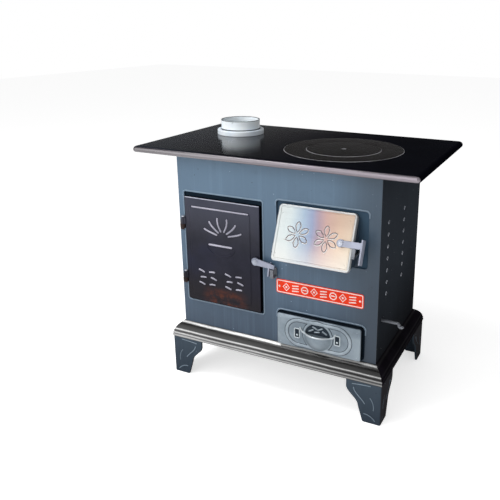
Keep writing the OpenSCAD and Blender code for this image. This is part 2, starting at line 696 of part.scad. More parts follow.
module stoking_door() color(bare_steel) on_mouth() difference() {
    union() {
        upright_rect(stoke_x, stoke_top - stoke_h, stoke_top, stoke_w, 10, stoke_face_y, -seat_gap);
        difference() {                       // raised line just inside the edge
            upright_rect(stoke_x, stoke_top - stoke_h + 5, stoke_top - 5, stoke_w - 10, 7,
                stoke_face_y - 1, stoke_face_y + eps);
            upright_rect(stoke_x, stoke_top - stoke_h + 8, stoke_top - 8, stoke_w - 16, 5,
                stoke_face_y - 2, stoke_face_y + 2 * eps);
        }
        bar_y(stoke_pivot[0], stoke_pivot[1], 16, stoke_face_y - lever_stand, stoke_face_y + eps);
        for (z = stoke_hinge_zs) {
            translate([stoke_hinge[0], stoke_hinge[1], z + seat_gap])
                cylinder(r = hinge_r - 1, h = knuckle_h);
            block([stoke_hinge[0], -eps, z + seat_gap],
                [stoke_hinge[0] + 8, stoke_hinge[1], z + seat_gap + knuckle_h]);
        }
    }
    upright_rect(stoke_x, stoke_top - stoke_h + stoke_rim, stoke_top - stoke_rim,
        stoke_w - 2 * stoke_rim, 4, stoke_face_y + 5, 0);
    bar_y(stoke_pivot[0], stoke_pivot[1], lever_pin_d, stoke_face_y - lever_stand - eps, eps);
    for (z = stoke_hinge_zs) translate([stoke_hinge[0], stoke_hinge[1], z - eps])
        cylinder(d = hinge_pin_d + 2 * run_gap, h = knuckle_h + 3 * eps);
}

module stoking_hinge_pins() color(zinc) on_mouth() for (z = stoke_hinge_zs)
    translate([stoke_hinge[0], stoke_hinge[1], 0]) hinge_pin(z);

stoke_arm_half = 8;

module stoking_lever() color(zinc) on_mouth() difference() {
    translate([stoke_pivot[0], 0, stoke_pivot[1]]) {
        upright(stoke_lever_y - lever_t, stoke_lever_y) {
            circle(r = 10);
            translate([0, -stoke_arm_half]) square([lever_tip, 2 * stoke_arm_half]);
        }
        block([lever_tip - lever_t, stoke_lever_y - lever_t, -46], [lever_tip, 2, 16]);
    }
    bar_y(stoke_pivot[0], stoke_pivot[1], lever_pin_d + 2 * run_gap,
        stoke_lever_y - lever_t - eps, stoke_lever_y + eps);
}

module stoking_lever_pin() color(zinc) on_mouth() translate([stoke_pivot[0], 0, stoke_pivot[1]])
    latch_pin(stoke_lever_y - lever_t, stoke_face_y + 5);

// The keeper stands beside the door: an arm out of the seat, and a lip in front of the lever
module stoking_keeper() color(zinc) {
    x0 = stoke_x + stoke_w / 2 + 3.5;
    lip_w = 9;
    lip_y = stoke_lever_y - lever_t - lip_gap;
    lip_z = stoke_pivot[1] - stoke_arm_half - 2 * seat_gap;
    lip_h = 24;
    foot_y = front_y + (lip_y - lip_t) * cos(stoke_slant) + (lip_z - lip_h) * sin(stoke_slant);
    foot_z = mouth_top - (lip_y - lip_t) * sin(stoke_slant) + (lip_z - lip_h) * cos(stoke_slant);
    on_mouth() block([x0, lip_y - lip_t, lip_z - lip_h], [x0 + lip_w, lip_y, lip_z]);
    block([x0, foot_y, foot_z - 1], [x0 + lip_w, seat_y, foot_z + 3]);
    block([x0 - 2, seat_y - 3, foot_z - 9], [x0 + lip_w + 2, seat_y, foot_z + 15]);
}

// ---------------------------------------------------------------- red plate

label_w = 250;
label_h = 40;
label_t = 1.5;
label_z = drawer_z + drawer_h + 73.5;
label_x = drawer_x - 4;

module red_plate() color("#d9492f") difference() {
    upright_rect(label_x, label_z - label_h / 2, label_z + label_h / 2, label_w, 6,
        front_y - label_t, front_y);
    for (s = [-1, 1])
        bar_y(label_x + s * (label_w / 2 - 10), label_z, 3, front_y - label_t - eps, front_y + eps);
}

module plate_rivets() color("white") for (s = [-1, 1]) {
    bar_y(label_x + s * (label_w / 2 - 10), label_z, 3, front_y - label_t - eps, front_y);
    bar_y(label_x + s * (label_w / 2 - 10), label_z, 6, front_y - label_t - 1.2, front_y - label_t);
}

// ---------------------------------------------------------------- ash drawer

cup_r = 42;                                  // round field behind the cup pull
cup_out = 18;                                // how far the cup stands out
cup_wall = 4;
cup_sphere = (cup_r * cup_r / cup_out + cup_out) / 2;
drawer_mid_z = drawer_z + drawer_h / 2;
drawer_face_y = front_y - drawer_proud;
drawer_back_y = seat_y - seat_gap;
cup_lip_z = drawer_mid_z + 4;

module cup_ball(r) translate([drawer_x, drawer_face_y - cup_out + cup_sphere, drawer_mid_z])
    sphere(r = r, $fn = 96);

// Stadium outline of length 2a and height 2b
module stadium(a, b) {
    circle(r = b);
    for (s = [-1, 1]) translate([s * (a - b), 0]) circle(r = b);
    square([2 * (a - b), 2 * b], center = true);
}

module drawer_front() color(cast_grey) difference() {
    union() {
        difference() {
            upright_rect(drawer_x, drawer_z, drawer_z + drawer_h, drawer_w, 3, drawer_face_y,
                drawer_back_y);
            upright_rect(drawer_x, drawer_z + 5, drawer_z + drawer_h - 5, drawer_w - 10, 3,
                drawer_face_y + 5, drawer_back_y + eps);
        }
        upright_rect(drawer_x, drawer_z + 12, drawer_z + drawer_h - 14, drawer_w - 24, 3,
            drawer_face_y + 4, drawer_back_y);
        translate([drawer_x, 0, drawer_mid_z])
            upright(drawer_face_y - 2.5, drawer_face_y + eps) difference() {
                stadium(96, 42);
                stadium(91, 37);
            }
        intersection() {                     // the cup: the lower part of a thin ball
            cup_ball(cup_sphere);
            block([drawer_x - cup_r, drawer_face_y - cup_out - eps, drawer_mid_z - cup_r],
                [drawer_x + cup_r, drawer_face_y + eps, cup_lip_z]);
        }
    }
    intersection() {                         // finger room inside the cup
        cup_ball(cup_sphere - cup_wall);
        block([drawer_x - cup_r, drawer_face_y - cup_out, drawer_mid_z - cup_r + 3],
            [drawer_x + cup_r, drawer_face_y + 3, drawer_mid_z + cup_r]);
    }
    for (s = [-1, 1])
        bar_y(drawer_x + s * rivet_x, rivet_z, rivet_d, drawer_face_y + 5, drawer_back_y + eps);
}

module drawer_box() color(cast_grey) difference() {
    block([drawer_x - box_w / 2, box_front, box_low],
        [drawer_x + box_w / 2, box_front + drawer_depth, box_high]);
    block([drawer_x - box_w / 2 + box_t, box_front + box_t, box_low + box_t],
        [drawer_x + box_w / 2 - box_t, box_front + drawer_depth - box_t, box_high + eps]);
    for (s = [-1, 1])
        bar_y(drawer_x + s * rivet_x, rivet_z, rivet_d, box_front - eps, box_front + box_t + eps);
}

module drawer_rivets() color(zinc) for (s = [-1, 1]) {
    bar_y(drawer_x + s * rivet_x, rivet_z, rivet_d, drawer_face_y + 5, box_front + box_t + 1);
    bar_y(drawer_x + s * rivet_x, rivet_z, 1.8 * rivet_d, box_front + box_t, box_front + box_t + 2);
}

// ---------------------------------------------------------------- ash pit, grate and firebox

pit_back_y = casing_y + casing_d + 10;

module ash_pit() color(cast_grey) {
    for (s = [-1, 1]) translate([drawer_x + s * (pit_w / 2 - 1.5), 0, 0])
        block([-1.5, tray_y, floor_z], [1.5, pit_back_y, frame_low]);
    block([drawer_x - pit_w / 2 + 1, tray_y, pit_floor - 2.5],
        [drawer_x + pit_w / 2 - 1, pit_back_y, pit_floor]);
}

frame_w = casing_w + 18;

module grate_frame() color(black_iron) difference() {
    block([fire_x - frame_w / 2, casing_y - 8, frame_low],
        [fire_x + frame_w / 2, casing_y + casing_d + 8, frame_top]);
    block([fire_x - grate_w / 2 - shake - 1, casing_y + 3, frame_floor],
        [fire_x + grate_w / 2 + shake + 1, casing_y + casing_d - 3, frame_top + eps]);
    block([fire_x - grate_w / 2 + 14, casing_y + 26, frame_low - eps],
        [fire_x + grate_w / 2 - 14, casing_y + casing_d - 26, frame_top]);
    block([fire_x, rod_y - rod_d / 2 - 1.5, rod_z - rod_d / 2 - 1.2],
        [fire_x + frame_w, rod_y + rod_d / 2 + 1.5, frame_top + eps]);
}

bar_n = 8;                                   // slots of the grate
slot_w = 11;

module grate() color(black_iron) difference() {
    block([fire_x - grate_w / 2, casing_y + 4, grate_z],
        [fire_x + grate_w / 2, casing_y + 4 + grate_d, grate_z + grate_t]);
    for (i = [0:bar_n - 1], half = [0, 1]) {
        x = fire_x - grate_w / 2 + 20 + (grate_w - 40) * (i + 0.5) / bar_n;
        y = casing_y + 24 + half * (grate_d - 28) / 2;
        block([x - slot_w / 2, y, grate_z - eps],
            [x + slot_w / 2, y + (grate_d - 28) / 2 - 12, grate_z + grate_t + eps]);
    }
    bar_x(rod_y, rod_z, rod_d + 2 * run_gap, fire_x + grate_w / 2 - 16, fire_x + grate_w / 2 + eps);
}

// The rod's outer end is bent down and out into a pulling hook
module shaker_rod() color(zinc) {
    bar_x(rod_y, rod_z, rod_d, fire_x + grate_w / 2 - 15.5, hook_x);
    translate([hook_x, rod_y, rod_z - hook_r]) rotate([90, 0, 0]) bend(90);
    translate([hook_x + 2 * hook_r, rod_y, rod_z - hook_r]) rotate([90, 180, 0]) bend(hook_turn);
}

module bend(a) rotate_extrude(angle = a) translate([hook_r, 0]) circle(d = rod_d);

casing_low = frame_top;
casing_open_low = chute_low + chute_t;
casing_open_high = mouth_top - chute_t;

module firebox_casing() color(black_iron) difference() {
    block([fire_x - casing_w / 2, casing_y, casing_low],
        [fire_x + casing_w / 2, casing_y + casing_d, plate_under - seat_gap]);
    block([fire_x - casing_w / 2 + casing_t, casing_y + casing_t, casing_low + 3],
        [fire_x + casing_w / 2 - casing_t, casing_y + casing_d - casing_t, plate_under]);
    block([fire_x - casing_w / 2 + casing_t + brick_t - 2, casing_y + casing_t + brick_t - 2,
            casing_low - eps],
        [fire_x + casing_w / 2 - casing_t - brick_t + 2,
            casing_y + casing_d - casing_t - brick_t + 2, plate_under]);
    block([stoke_x - chute_w / 2 + chute_t, casing_y - eps, casing_open_low],
        [stoke_x + chute_w / 2 - chute_t, casing_y + casing_t + eps, casing_open_high]);
    block([fire_x - casing_w / 2 - eps, casing_y + 30, oven_in_high + 60],
        [fire_x - casing_w / 2 + casing_t + eps, casing_y + casing_d - 30, plate_under + eps]);
}

brick_low = casing_low + 3;
brick_high = oven_in_high + 50;

module brick_side(s) {
    x = fire_x + s * (casing_w / 2 - casing_t - brick_t / 2);
    block([x - brick_t / 2, casing_y + casing_t, brick_low],
        [x + brick_t / 2, casing_y + casing_d - casing_t, brick_high]);
}

module brick_end(y, high) block([fire_x - casing_w / 2 + casing_t + brick_t, y, brick_low],
    [fire_x + casing_w / 2 - casing_t - brick_t, y + brick_t, high]);

module brick_left() color(brick_red) brick_side(-1);
module brick_right() color(brick_red) brick_side(1);
module brick_front() color(brick_red) brick_end(casing_y + casing_t, casing_open_low);
module brick_back() color(brick_red) brick_end(casing_y + casing_d - casing_t - brick_t, brick_high);

// ---------------------------------------------------------------- nodes

hotplate();
cooking_ring();
cooking_lid();
collar_ring();
flue_spigot();
collar_screws();
front_panel();
right_panel();
left_panel();
back_panel();
bottom_pan();
moulding_front();
moulding_back();
moulding_left();
moulding_right();
leg_front_left();
leg_front_right();
leg_back_left();
leg_back_right();
leg_bolts();
leg_nuts();
oven_door();
oven_hinge_lugs();
oven_hinge_pins();
oven_lever();
oven_lever_pin();
oven_keeper();
oven_box();
oven_rails();
oven_shelf();
partition();
feed_chute();
stoking_door();
stoking_hinge_pins();
stoking_lever();
stoking_lever_pin();
stoking_keeper();
red_plate();
plate_rivets();
drawer_front();
drawer_box();
drawer_rivets();
ash_pit();
grate_frame();
grate();
shaker_rod();
firebox_casing();
brick_left();
brick_right();
brick_front();
brick_back();
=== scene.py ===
import json
import math

import bmesh
import bpy
from mathutils import Matrix, Vector

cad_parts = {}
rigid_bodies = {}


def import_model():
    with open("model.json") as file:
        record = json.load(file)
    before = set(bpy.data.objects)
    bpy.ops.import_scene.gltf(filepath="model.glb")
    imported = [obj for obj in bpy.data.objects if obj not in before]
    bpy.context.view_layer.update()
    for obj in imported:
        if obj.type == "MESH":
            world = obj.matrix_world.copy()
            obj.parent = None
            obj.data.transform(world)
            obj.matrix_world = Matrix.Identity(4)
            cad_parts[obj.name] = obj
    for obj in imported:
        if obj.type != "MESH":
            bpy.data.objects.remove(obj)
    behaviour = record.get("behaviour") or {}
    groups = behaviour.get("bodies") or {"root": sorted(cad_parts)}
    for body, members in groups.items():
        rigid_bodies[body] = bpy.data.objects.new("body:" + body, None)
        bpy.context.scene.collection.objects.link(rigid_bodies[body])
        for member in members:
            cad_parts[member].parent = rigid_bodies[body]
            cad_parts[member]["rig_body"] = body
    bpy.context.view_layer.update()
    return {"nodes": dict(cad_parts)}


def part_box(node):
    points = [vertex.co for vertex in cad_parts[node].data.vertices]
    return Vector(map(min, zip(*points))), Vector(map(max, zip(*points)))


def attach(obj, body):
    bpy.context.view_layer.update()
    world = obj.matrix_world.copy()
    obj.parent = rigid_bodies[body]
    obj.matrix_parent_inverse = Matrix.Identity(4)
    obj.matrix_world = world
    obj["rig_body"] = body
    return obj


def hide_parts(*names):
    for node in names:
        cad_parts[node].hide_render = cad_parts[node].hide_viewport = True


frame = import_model()
nodes = frame["nodes"]
scene = bpy.context.scene
K = 0.001                                    # shapes are in millimetres, materials in metres
TOP, UNDER = 684.0, 676.0                    # the hotplate's two faces
HOLE = (133.0, -22.0)                        # the middle of the cooking ring
FLUE = (-238.0, 66.0)                        # the middle of the flue collar
FRONT = -181.0                               # the front panel's face


def box_mm(node):
    lo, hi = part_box(node)
    return [c / K for c in lo], [c / K for c in hi]


# ------ camera

YAW, PITCH, ROLL = (math.radians(a) for a in (24.18, 16.59, 0.41))
forward = Vector((-math.sin(YAW) * math.cos(PITCH), math.cos(YAW) * math.cos(PITCH), -math.sin(PITCH)))
right0 = Vector((math.cos(YAW), math.sin(YAW), 0))
up0 = right0.cross(forward)
right = right0 * math.cos(ROLL) + up0 * math.sin(ROLL)
up = up0 * math.cos(ROLL) - right0 * math.sin(ROLL)
cam = bpy.data.objects.new("camera", bpy.data.cameras.new("camera"))
scene.collection.objects.link(cam)
cam.data.sensor_width = 36
cam.data.lens = 44.14
cam.data.shift_x = -0.1282
cam.data.shift_y = -0.0898
place = Matrix((right, up, -forward)).transposed().to_4x4()
place.translation = Vector((0.7228, -1.5274, 1.0074))
cam.matrix_world = place
scene.camera = cam

# ------ materials


class Mat:
    """A node material. Sockets of the shader are set by name, and the methods return sockets."""

    def __init__(self, name, **values):
        self.m = bpy.data.materials.new(name)
        self.m.use_nodes = True
        self.t = self.m.node_tree
        self.b = self.t.nodes["Principled BSDF"]
        for k, v in values.items():
            self.b.inputs[k.replace("_", " ")].default_value = v
        self.at = self.node("ShaderNodeTexCoord").outputs["Object"]

    def node(self, kind, ins=None, **props):
        n = self.t.nodes.new(kind)
        for k, v in props.items():
            setattr(n, k, v)
        for k, v in (ins or {}).items():
            self.put(n.inputs[k], v)
        return n

    def put(self, socket, v):
        if isinstance(v, bpy.types.NodeSocket):
            self.t.links.new(v, socket)
        else:
            socket.default_value = v

    def set(self, name, v):
        self.put(self.b.inputs[name], v)

    def colour(self):
        return self.b.inputs["Base Color"].links[0].from_socket

    def scaled(self, sx, sy, sz):
        return self.node("ShaderNodeMapping", {"Vector": self.at, "Scale": (sx, sy, sz)}).outputs[0]

    def noise(self, scale, detail, rough, at=None):
        return self.node("ShaderNodeTexNoise", {
            "Vector": at or self.at, "Scale": scale, "Detail": detail, "Roughness": rough}).outputs[0]

    def axis(self, i):
        return self.node("ShaderNodeSeparateXYZ", {0: self.at}).outputs[i]

    def facing(self, i, a, b):
        """0 to 1 as the surface's own direction along axis i goes from a to b."""
        normal = self.node("ShaderNodeTexCoord").outputs["Normal"]
        return self.span(self.node("ShaderNodeSeparateXYZ", {0: normal}).outputs[i], a, b)

    def span(self, v, a, b, lo=0.0, hi=1.0, smooth=True):
        n = self.node("ShaderNodeMapRange", {"Value": v, "From Min": a, "From Max": b,
                                             "To Min": lo, "To Max": hi})
        n.interpolation_type = "SMOOTHSTEP" if smooth else "LINEAR"
        return n.outputs[0]

    def math(self, op, a, b=0.0):
        return self.node("ShaderNodeMath", {0: a, 1: b}, operation=op).outputs[0]

    def times(self, a, b):
        return self.math("MULTIPLY", a, b)

    def minus(self, a, b):
        return self.math("SUBTRACT", a, b)

    def ramp(self, v, stops):
        n = self.node("ShaderNodeValToRGB", {0: v})
        e = n.color_ramp.elements
        while len(e) < len(stops):
            e.new(0.5)
        for i, (p, c) in enumerate(stops):
            e[i].position = p
            e[i].color = (*c, 1)
        return n.outputs[0]

    def mix(self, f, a, b, mode="MIX"):
        n = self.node("ShaderNodeMix", data_type="RGBA", blend_type=mode)
        self.put(n.inputs[0], f)
        for i, v in ((6, a), (7, b)):
            self.put(n.inputs[i], (*v, 1) if isinstance(v, tuple) and len(v) == 3 else v)
        return n.outputs[2]

    def bump(self, height, strength, distance):
        n = self.node("ShaderNodeBump", {"Height": height, "Strength": strength, "Distance": distance})
        old = self.b.inputs["Normal"]
        if old.is_linked:
            self.put(n.inputs["Normal"], old.links[0].from_socket)
        self.put(old, n.outputs[0])

    def lacquer(self, weight, rough, ior=1.5):
        """Gloss that comes and goes over the surface: a coat whose weight varies, over a base without any."""
        self.b.inputs["Specular IOR Level"].default_value = 0.0
        self.b.inputs["Coat Roughness"].default_value = rough
        self.b.inputs["Coat IOR"].default_value = ior
        self.set("Coat Weight", weight)

    def specks(self, scale, level, at=None):
        """Small round specks: 1 inside a speck, 0 elsewhere."""
        v = self.node("ShaderNodeTexVoronoi", {"Vector": at or self.at, "Scale": scale,
                                               "Randomness": 1.0}).outputs["Distance"]
        return self.span(v, level, level * 0.6)


def lin(r, g, b):
    """A colour written as 0..255 screen values."""
    return tuple((c / 255 / 12.92) if c / 255 <= 0.04045 else ((c / 255 + 0.055) / 1.055) ** 2.4
                 for c in (r, g, b))


def painted(name, high, low, z0=0.12, z1=0.67, rough=0.42, spec=0.4, streak=0.22, speck=True, coat=0.0):
    """Satin sheet-metal paint, painted darker towards the foot as shade, with faint upright streaks and
    specks.
    """
    m = Mat(name, Specular_IOR_Level=spec, Coat_Weight=coat, Coat_Roughness=0.25)
    z = m.axis(2)
    # painted shade: from the low colour at height z0 to the high colour at z1, with a random wander
    height_shade = m.span(z, z0, z1, smooth=False)
    wander = m.noise(3.5, 3, 0.5)
    shade_and_tone = m.math("ADD", height_shade, m.times(m.minus(wander, 0.5), 0.5))
    base = m.mix(shade_and_tone, low, high)
    streaks = m.noise(1.0, 5, 0.65, at=m.scaled(85, 85, 2.2))
    base = m.mix(m.span(streaks, 0.45, 0.8, 0, streak), base, tuple(min(1, c * 1.7 + 0.02) for c in high))
    grime = m.noise(9, 8, 0.7)
    base = m.mix(m.span(grime, 0.55, 0.85, 0, 0.4), base, tuple(c * 0.55 for c in low))
    if speck:
        pale = tuple(min(1, c * 2 + 0.25) for c in high)
        base = m.mix(m.times(m.specks(46, 0.05), 0.8), base, pale)
        chips = m.specks(31, 0.045, m.scaled(1, 1.2, 0.9))
        base = m.mix(m.times(chips, 0.8), base, (0.012, 0.014, 0.018))
    m.set("Base Color", base)
    m.set("Roughness", m.span(m.noise(22, 5, 0.6), 0.3, 0.75, rough - 0.07, rough + 0.1))
    m.bump(m.noise(420, 2, 0.5), 0.12, 0.0004)
    m.bump(m.noise(7, 2, 0.4), 0.10, 0.004)
    return m


def casting(name, dark, light, rough, spec=0.35, grain=0.35, rust=0.0, rust_z=(0.24, 0.34)):
    """A sand casting under paint or black oil: grainy, mottled, a little brown low down."""
    m = Mat(name, Specular_IOR_Level=spec)
    base = m.mix(m.span(m.noise(14, 8, 0.65), 0.3, 0.75), dark, light)
    if rust:
        low = m.span(m.axis(2), rust_z[1], rust_z[0])
        patch = m.span(m.noise(26, 7, 0.7), 0.42, 0.7)
        base = m.mix(m.times(m.times(low, patch), rust), base, lin(96, 48, 26))
    m.set("Base Color", base)
    m.set("Roughness", m.span(m.noise(60, 4, 0.6), 0.3, 0.7, rough - 0.08, rough + 0.12))
    m.bump(m.noise(330, 3, 0.6), grain, 0.0006)
    m.bump(m.noise(38, 4, 0.55), grain * 0.6, 0.0016)
    return m


def metal(name, a, b, rough, metallic, grain=(6, 260, 6), scratch=0.12, spots=None):
    """Bare or plated sheet: brushed one way, mottled, with a few dull spots."""
    m = Mat(name, Metallic=metallic)
    base = m.mix(m.span(m.noise(18, 6, 0.65), 0.3, 0.75), a, b)
    if spots:
        base = m.mix(m.times(m.span(m.noise(34, 5, 0.75), 0.62, 0.75), 0.6), base, spots)
    m.set("Base Color", base)
    brushed = m.noise(1.0, 4, 0.6, at=m.scaled(*grain))
    m.set("Roughness", m.span(brushed, 0.25, 0.8, rough - 0.06, rough + 0.14))
    m.bump(brushed, scratch, 0.0004)
    m.bump(m.noise(55, 3, 0.5), 0.08, 0.001)
    return m


PAINT = dict(high=lin(94, 121, 145), low=lin(34, 52, 72), z0=0.10, spec=0.45, streak=0.14, coat=0.06)


def front_paint():
    """The front panel's paint: painted shade to the right and in its dull recesses, painted highlight on its
    beads' tops, and deeper inside painted shade mottled sooty brown.
    """
    m = painted("body_paint", **PAINT)
    face = FRONT * K
    # painted shade: darker towards the right-hand side
    base = m.mix(m.span(m.axis(0), 0.14, 0.290, 0.0, 0.60), m.colour(), lin(24, 32, 42))
    stoking_side = m.times(m.span(m.axis(0), 0.0, 0.02), m.span(m.axis(2), 0.37, 0.40))
    shadow = m.mix(stoking_side, lin(30, 41, 52), lin(62, 82, 100))
    # deeper in the recesses the painted shade turns near black, mottled brown like soot
    deep = m.mix(m.span(m.noise(30, 6, 0.7), 0.35, 0.7), lin(10, 12, 15), lin(34, 31, 30))
    shade_and_soot = m.mix(m.span(m.axis(1), face + 0.004, face + 0.007), shadow, deep)
    base = m.mix(m.span(m.axis(1), face + 0.0007, face + 0.0018), base, shade_and_soot)
    # painted highlight on the upward faces of the raised beads
    bead_highlight = m.times(m.span(m.axis(1), face - 0.00012, face - 0.0005), m.facing(2, -0.3, 0.4))
    base = m.mix(m.times(bead_highlight, 0.75), base, lin(158, 178, 196))
    m.set("Base Color", base)
    m.lacquer(m.span(m.axis(1), face + 0.0007, face + 0.0018, 0.95, 0.0), 0.40)
    return m


def leg_coat(name, high, low, rough, weight):
    """Leg paint. Only the faces to the front keep its colour and gloss; the others are painted in shade."""
    m = painted(name, high, low, z0=0.0, z1=0.115, rough=rough, streak=0.1)
    lit = m.facing(1, -0.45, -0.75)
    m.set("Base Color", m.mix(lit, lin(54, 53, 56), m.colour()))
    m.lacquer(m.times(lit, weight), 0.45)
    return m


def plate_black():
    """Oiled casting, ground smooth, glossier at the left and paler there with a painted reflection, its
    rolled front edge painted with a pinkish-grey highlight.
    """
    m = Mat("plate_black")
    base = m.mix(m.span(m.noise(5, 6, 0.6), 0.3, 0.75), lin(8, 9, 14), lin(13, 14, 21))
    oil = m.noise(1.0, 5, 0.7, at=m.scaled(3, 40, 10))
    base = m.mix(m.span(oil, 0.55, 0.9, 0, 0.3), base, lin(24, 18, 18))
    # painted reflection: paler towards the left
    base = m.mix(m.span(m.axis(0), -0.08, -0.38, 0.0, 0.85), base, lin(38, 42, 49))
    # painted highlight on the rolled front edge, brighter to the right
    rim = m.times(m.span(m.axis(2), 0.6832, 0.6790), m.facing(1, -0.35, -0.6))
    rim_highlight = m.mix(m.span(m.axis(0), -0.4, 0.4, smooth=False), lin(68, 60, 66), lin(160, 152, 160))
    m.set("Base Color", m.mix(m.times(rim, 0.85), base, rim_highlight))
    m.set("Metallic", m.times(rim, 0.35))
    right_half = m.span(m.axis(0), -0.26, 0.18)
    gloss_in = m.minus(0.95, m.times(right_half, 0.87))
    flat = m.math("MAXIMUM", m.facing(2, 0.975, 0.998), rim)
    m.lacquer(m.times(gloss_in, flat), 0.16, ior=1.95)
    m.set("Roughness", m.span(m.noise(12, 3, 0.5), 0.3, 0.75, 0.13, 0.19))
    m.bump(m.noise(14, 2, 0.4), 0.02, 0.0006)
    return m


def ring_black():
    """The ring's and the lid's casting: turned in fine circles, with patchy painted highlights along its
    edges.
    """
    m = Mat("ring_black", Specular_IOR_Level=0.15)
    x, y = (m.minus(m.axis(i), HOLE[i] * K) for i in (0, 1))
    radius = m.math("SQRT", m.math("ADD", m.times(x, x), m.times(y, y)))
    circles = m.node("ShaderNodeCombineXYZ", {0: m.times(radius, 260.0)}).outputs[0]
    turned = m.node("ShaderNodeTexNoise", {"Vector": circles, "Scale": 1.0, "Detail": 3.0},
                    noise_dimensions="3D").outputs[0]
    base = m.mix(m.span(m.noise(6, 6, 0.6), 0.3, 0.75), lin(10, 8, 8), lin(16, 12, 12))
    # painted highlights, patchy, along the edges of the ring and the lid and round the lifting hole
    for edge in (0.1608, 0.1008):                              # of the ring and of the lid
        edge_highlight = m.span(m.math("ABSOLUTE", m.minus(radius, edge)), 0.0013, 0.0004)
        patchy = m.span(m.noise(9, 4, 0.6), 0.3, 0.6, 0.35, 0.9)
        base = m.mix(m.times(edge_highlight, patchy), base, lin(186, 186, 190))
    base = m.mix(m.span(radius, 0.0074, 0.0062), base, lin(120, 120, 124))     # rim of the lifting hole
    m.set("Base Color", base)
    m.set("Roughness", m.span(turned, 0.3, 0.7, 0.17, 0.26))
    m.bump(turned, 0.02, 0.0003)
    return m


# The base moulding's gloss enamel mirrors the room in bands along its length. Each band is (part of the
# height, grey): two reeds with a groove above each, the pale foot of the round, its dark belly and the pale
# line along its top edge. They are drawn.
# These bands are painted reflection: the room's light and shade put into the enamel's colour.
REFLECTION_BANDS = ((0.0, 80), (0.1, 200), (0.19, 90), (0.29, 200), (0.37, 40), (0.46, 90), (0.52, 220), (0.58, 60),
         (0.88, 30), (0.94, 240), (1.0, 90))


def banded(name, gain, **values):
    """A banded material and the socket of its bands' colour, which is painted reflection."""
    m = Mat(name, **values)
    sag = m.times(m.minus(m.noise(9, 3, 0.5), 0.5), 0.0022)
    height = m.span(m.math("ADD", m.axis(2), sag), 0.115, 0.160, smooth=False)
    return m, m.ramp(height, [(part, lin(*[min(255, grey * gain)] * 3)) for part, grey in REFLECTION_BANDS])


def gloss_front():
    """The enamel to the front and the left. Its painted reflection bands are starker to the right."""
    m, base = banded("gloss_black", 1.0, Metallic=0.12, Specular_IOR_Level=0.25)
    stark = m.mix(1.0, base, base, "MULTIPLY")
    base = m.mix(m.span(m.axis(0), -0.2, 0.32, 0.0, 0.9), base, stark)
    base = m.mix(m.span(m.noise(8, 6, 0.6), 0.45, 0.85, 0.0, 0.2), base, lin(52, 48, 46))
    m.set("Base Color", base)
    m.set("Roughness", m.span(m.noise(40, 5, 0.6), 0.3, 0.8, 0.16, 0.28))
    m.bump(m.noise(12, 3, 0.5), 0.05, 0.002)
    return m


def gloss_away():
    """The enamel to the right and the back, where it mirrors little: faint painted reflection bands on a
    darker base, painted shade.
    """
    m, base = banded("gloss_black_shaded", 0.22, Specular_IOR_Level=0.0)
    dark = m.mix(m.span(m.noise(8, 6, 0.6), 0.35, 0.8), lin(22, 20, 25), lin(36, 31, 41))
    m.set("Base Color", m.mix(0.6, base, dark))
    m.set("Roughness", m.span(m.noise(40, 5, 0.6), 0.3, 0.8, 0.4, 0.6))
    m.bump(m.noise(12, 3, 0.5), 0.10, 0.002)
    return m


def door_casting():
    """The oven door: blue-black, painted paler towards its top as light, with a painted highlight along its
    top edge, browner at the foot, painted shade on its edges behind its face, sooty on its back.
    """
    m = casting("door_casting", lin(28, 29, 40), lin(40, 40, 53), rough=0.36, grain=0.16)
    # painted light: paler towards the top
    base = m.mix(m.span(m.axis(2), 0.43, 0.545, 0.0, 0.45), m.colour(), lin(58, 62, 82))
    base = m.mix(m.span(m.noise(7, 3, 0.5), 0.5, 0.7, 0.0, 0.5), base, lin(26, 31, 52))
    base = m.mix(m.span(m.axis(2), 0.37, 0.26, 0.0, 0.7), base, lin(30, 26, 28))
    middle = m.span(m.math("ABSOLUTE", m.minus(m.axis(0), -0.150)), 0.085, 0.02)
    foot = m.times(m.span(m.axis(2), 0.296, 0.266), middle)
    patch = m.span(m.noise(26, 7, 0.7), 0.38, 0.66, 0.0, 0.7)
    base = m.mix(m.times(foot, patch), base, lin(112, 56, 32))
    # painted highlight along the top front edge
    lip_y = m.span(m.axis(1), -0.1870, -0.1882)
    top_edge_highlight = m.times(m.span(m.axis(2), 0.5431, 0.5440), lip_y)
    base = m.mix(top_edge_highlight, base, lin(196, 198, 214))
    # behind the face: painted shade, near black, on the edges; sooty mottling on the back
    inside = m.span(m.axis(1), -0.1872, -0.1862)
    sooty = m.mix(m.span(m.noise(22, 8, 0.7), 0.35, 0.7), lin(34, 31, 31), lin(62, 53, 48))
    behind = m.mix(m.facing(1, 0.3, 0.7), lin(9, 9, 12), sooty)
    m.set("Base Color", m.mix(inside, base, behind))
    shine = m.span(m.axis(2), 0.38, 0.54, 0.24, 0.72)
    m.lacquer(m.times(shine, m.minus(1.0, inside)), 0.38)
    return m


def drawer_casting():
    """The drawer front: silver-blue paint, with a painted highlight along its top and painted shade behind
    its face.
    """
    m = casting("silver_casting", lin(96, 110, 121), lin(134, 147, 157), rough=0.40, grain=0.22)
    m.b.inputs["Metallic"].default_value = 0.3
    # painted highlight along the top, fading out to the right
    head_highlight = m.times(m.span(m.axis(2), 0.243, 0.251), m.span(m.axis(0), 0.30, 0.02, 0.0, 0.3))
    base = m.mix(head_highlight, m.colour(), lin(172, 186, 198))
    # behind the face: painted shade on the edges
    inside = m.span(m.axis(1), -0.1925, -0.1915)
    behind = m.mix(m.facing(1, 0.3, 0.7), lin(30, 38, 46), lin(70, 76, 80))
    m.set("Base Color", m.mix(inside, base, behind))
    m.lacquer(m.minus(1.0, inside), 0.42, ior=1.56)
    return m


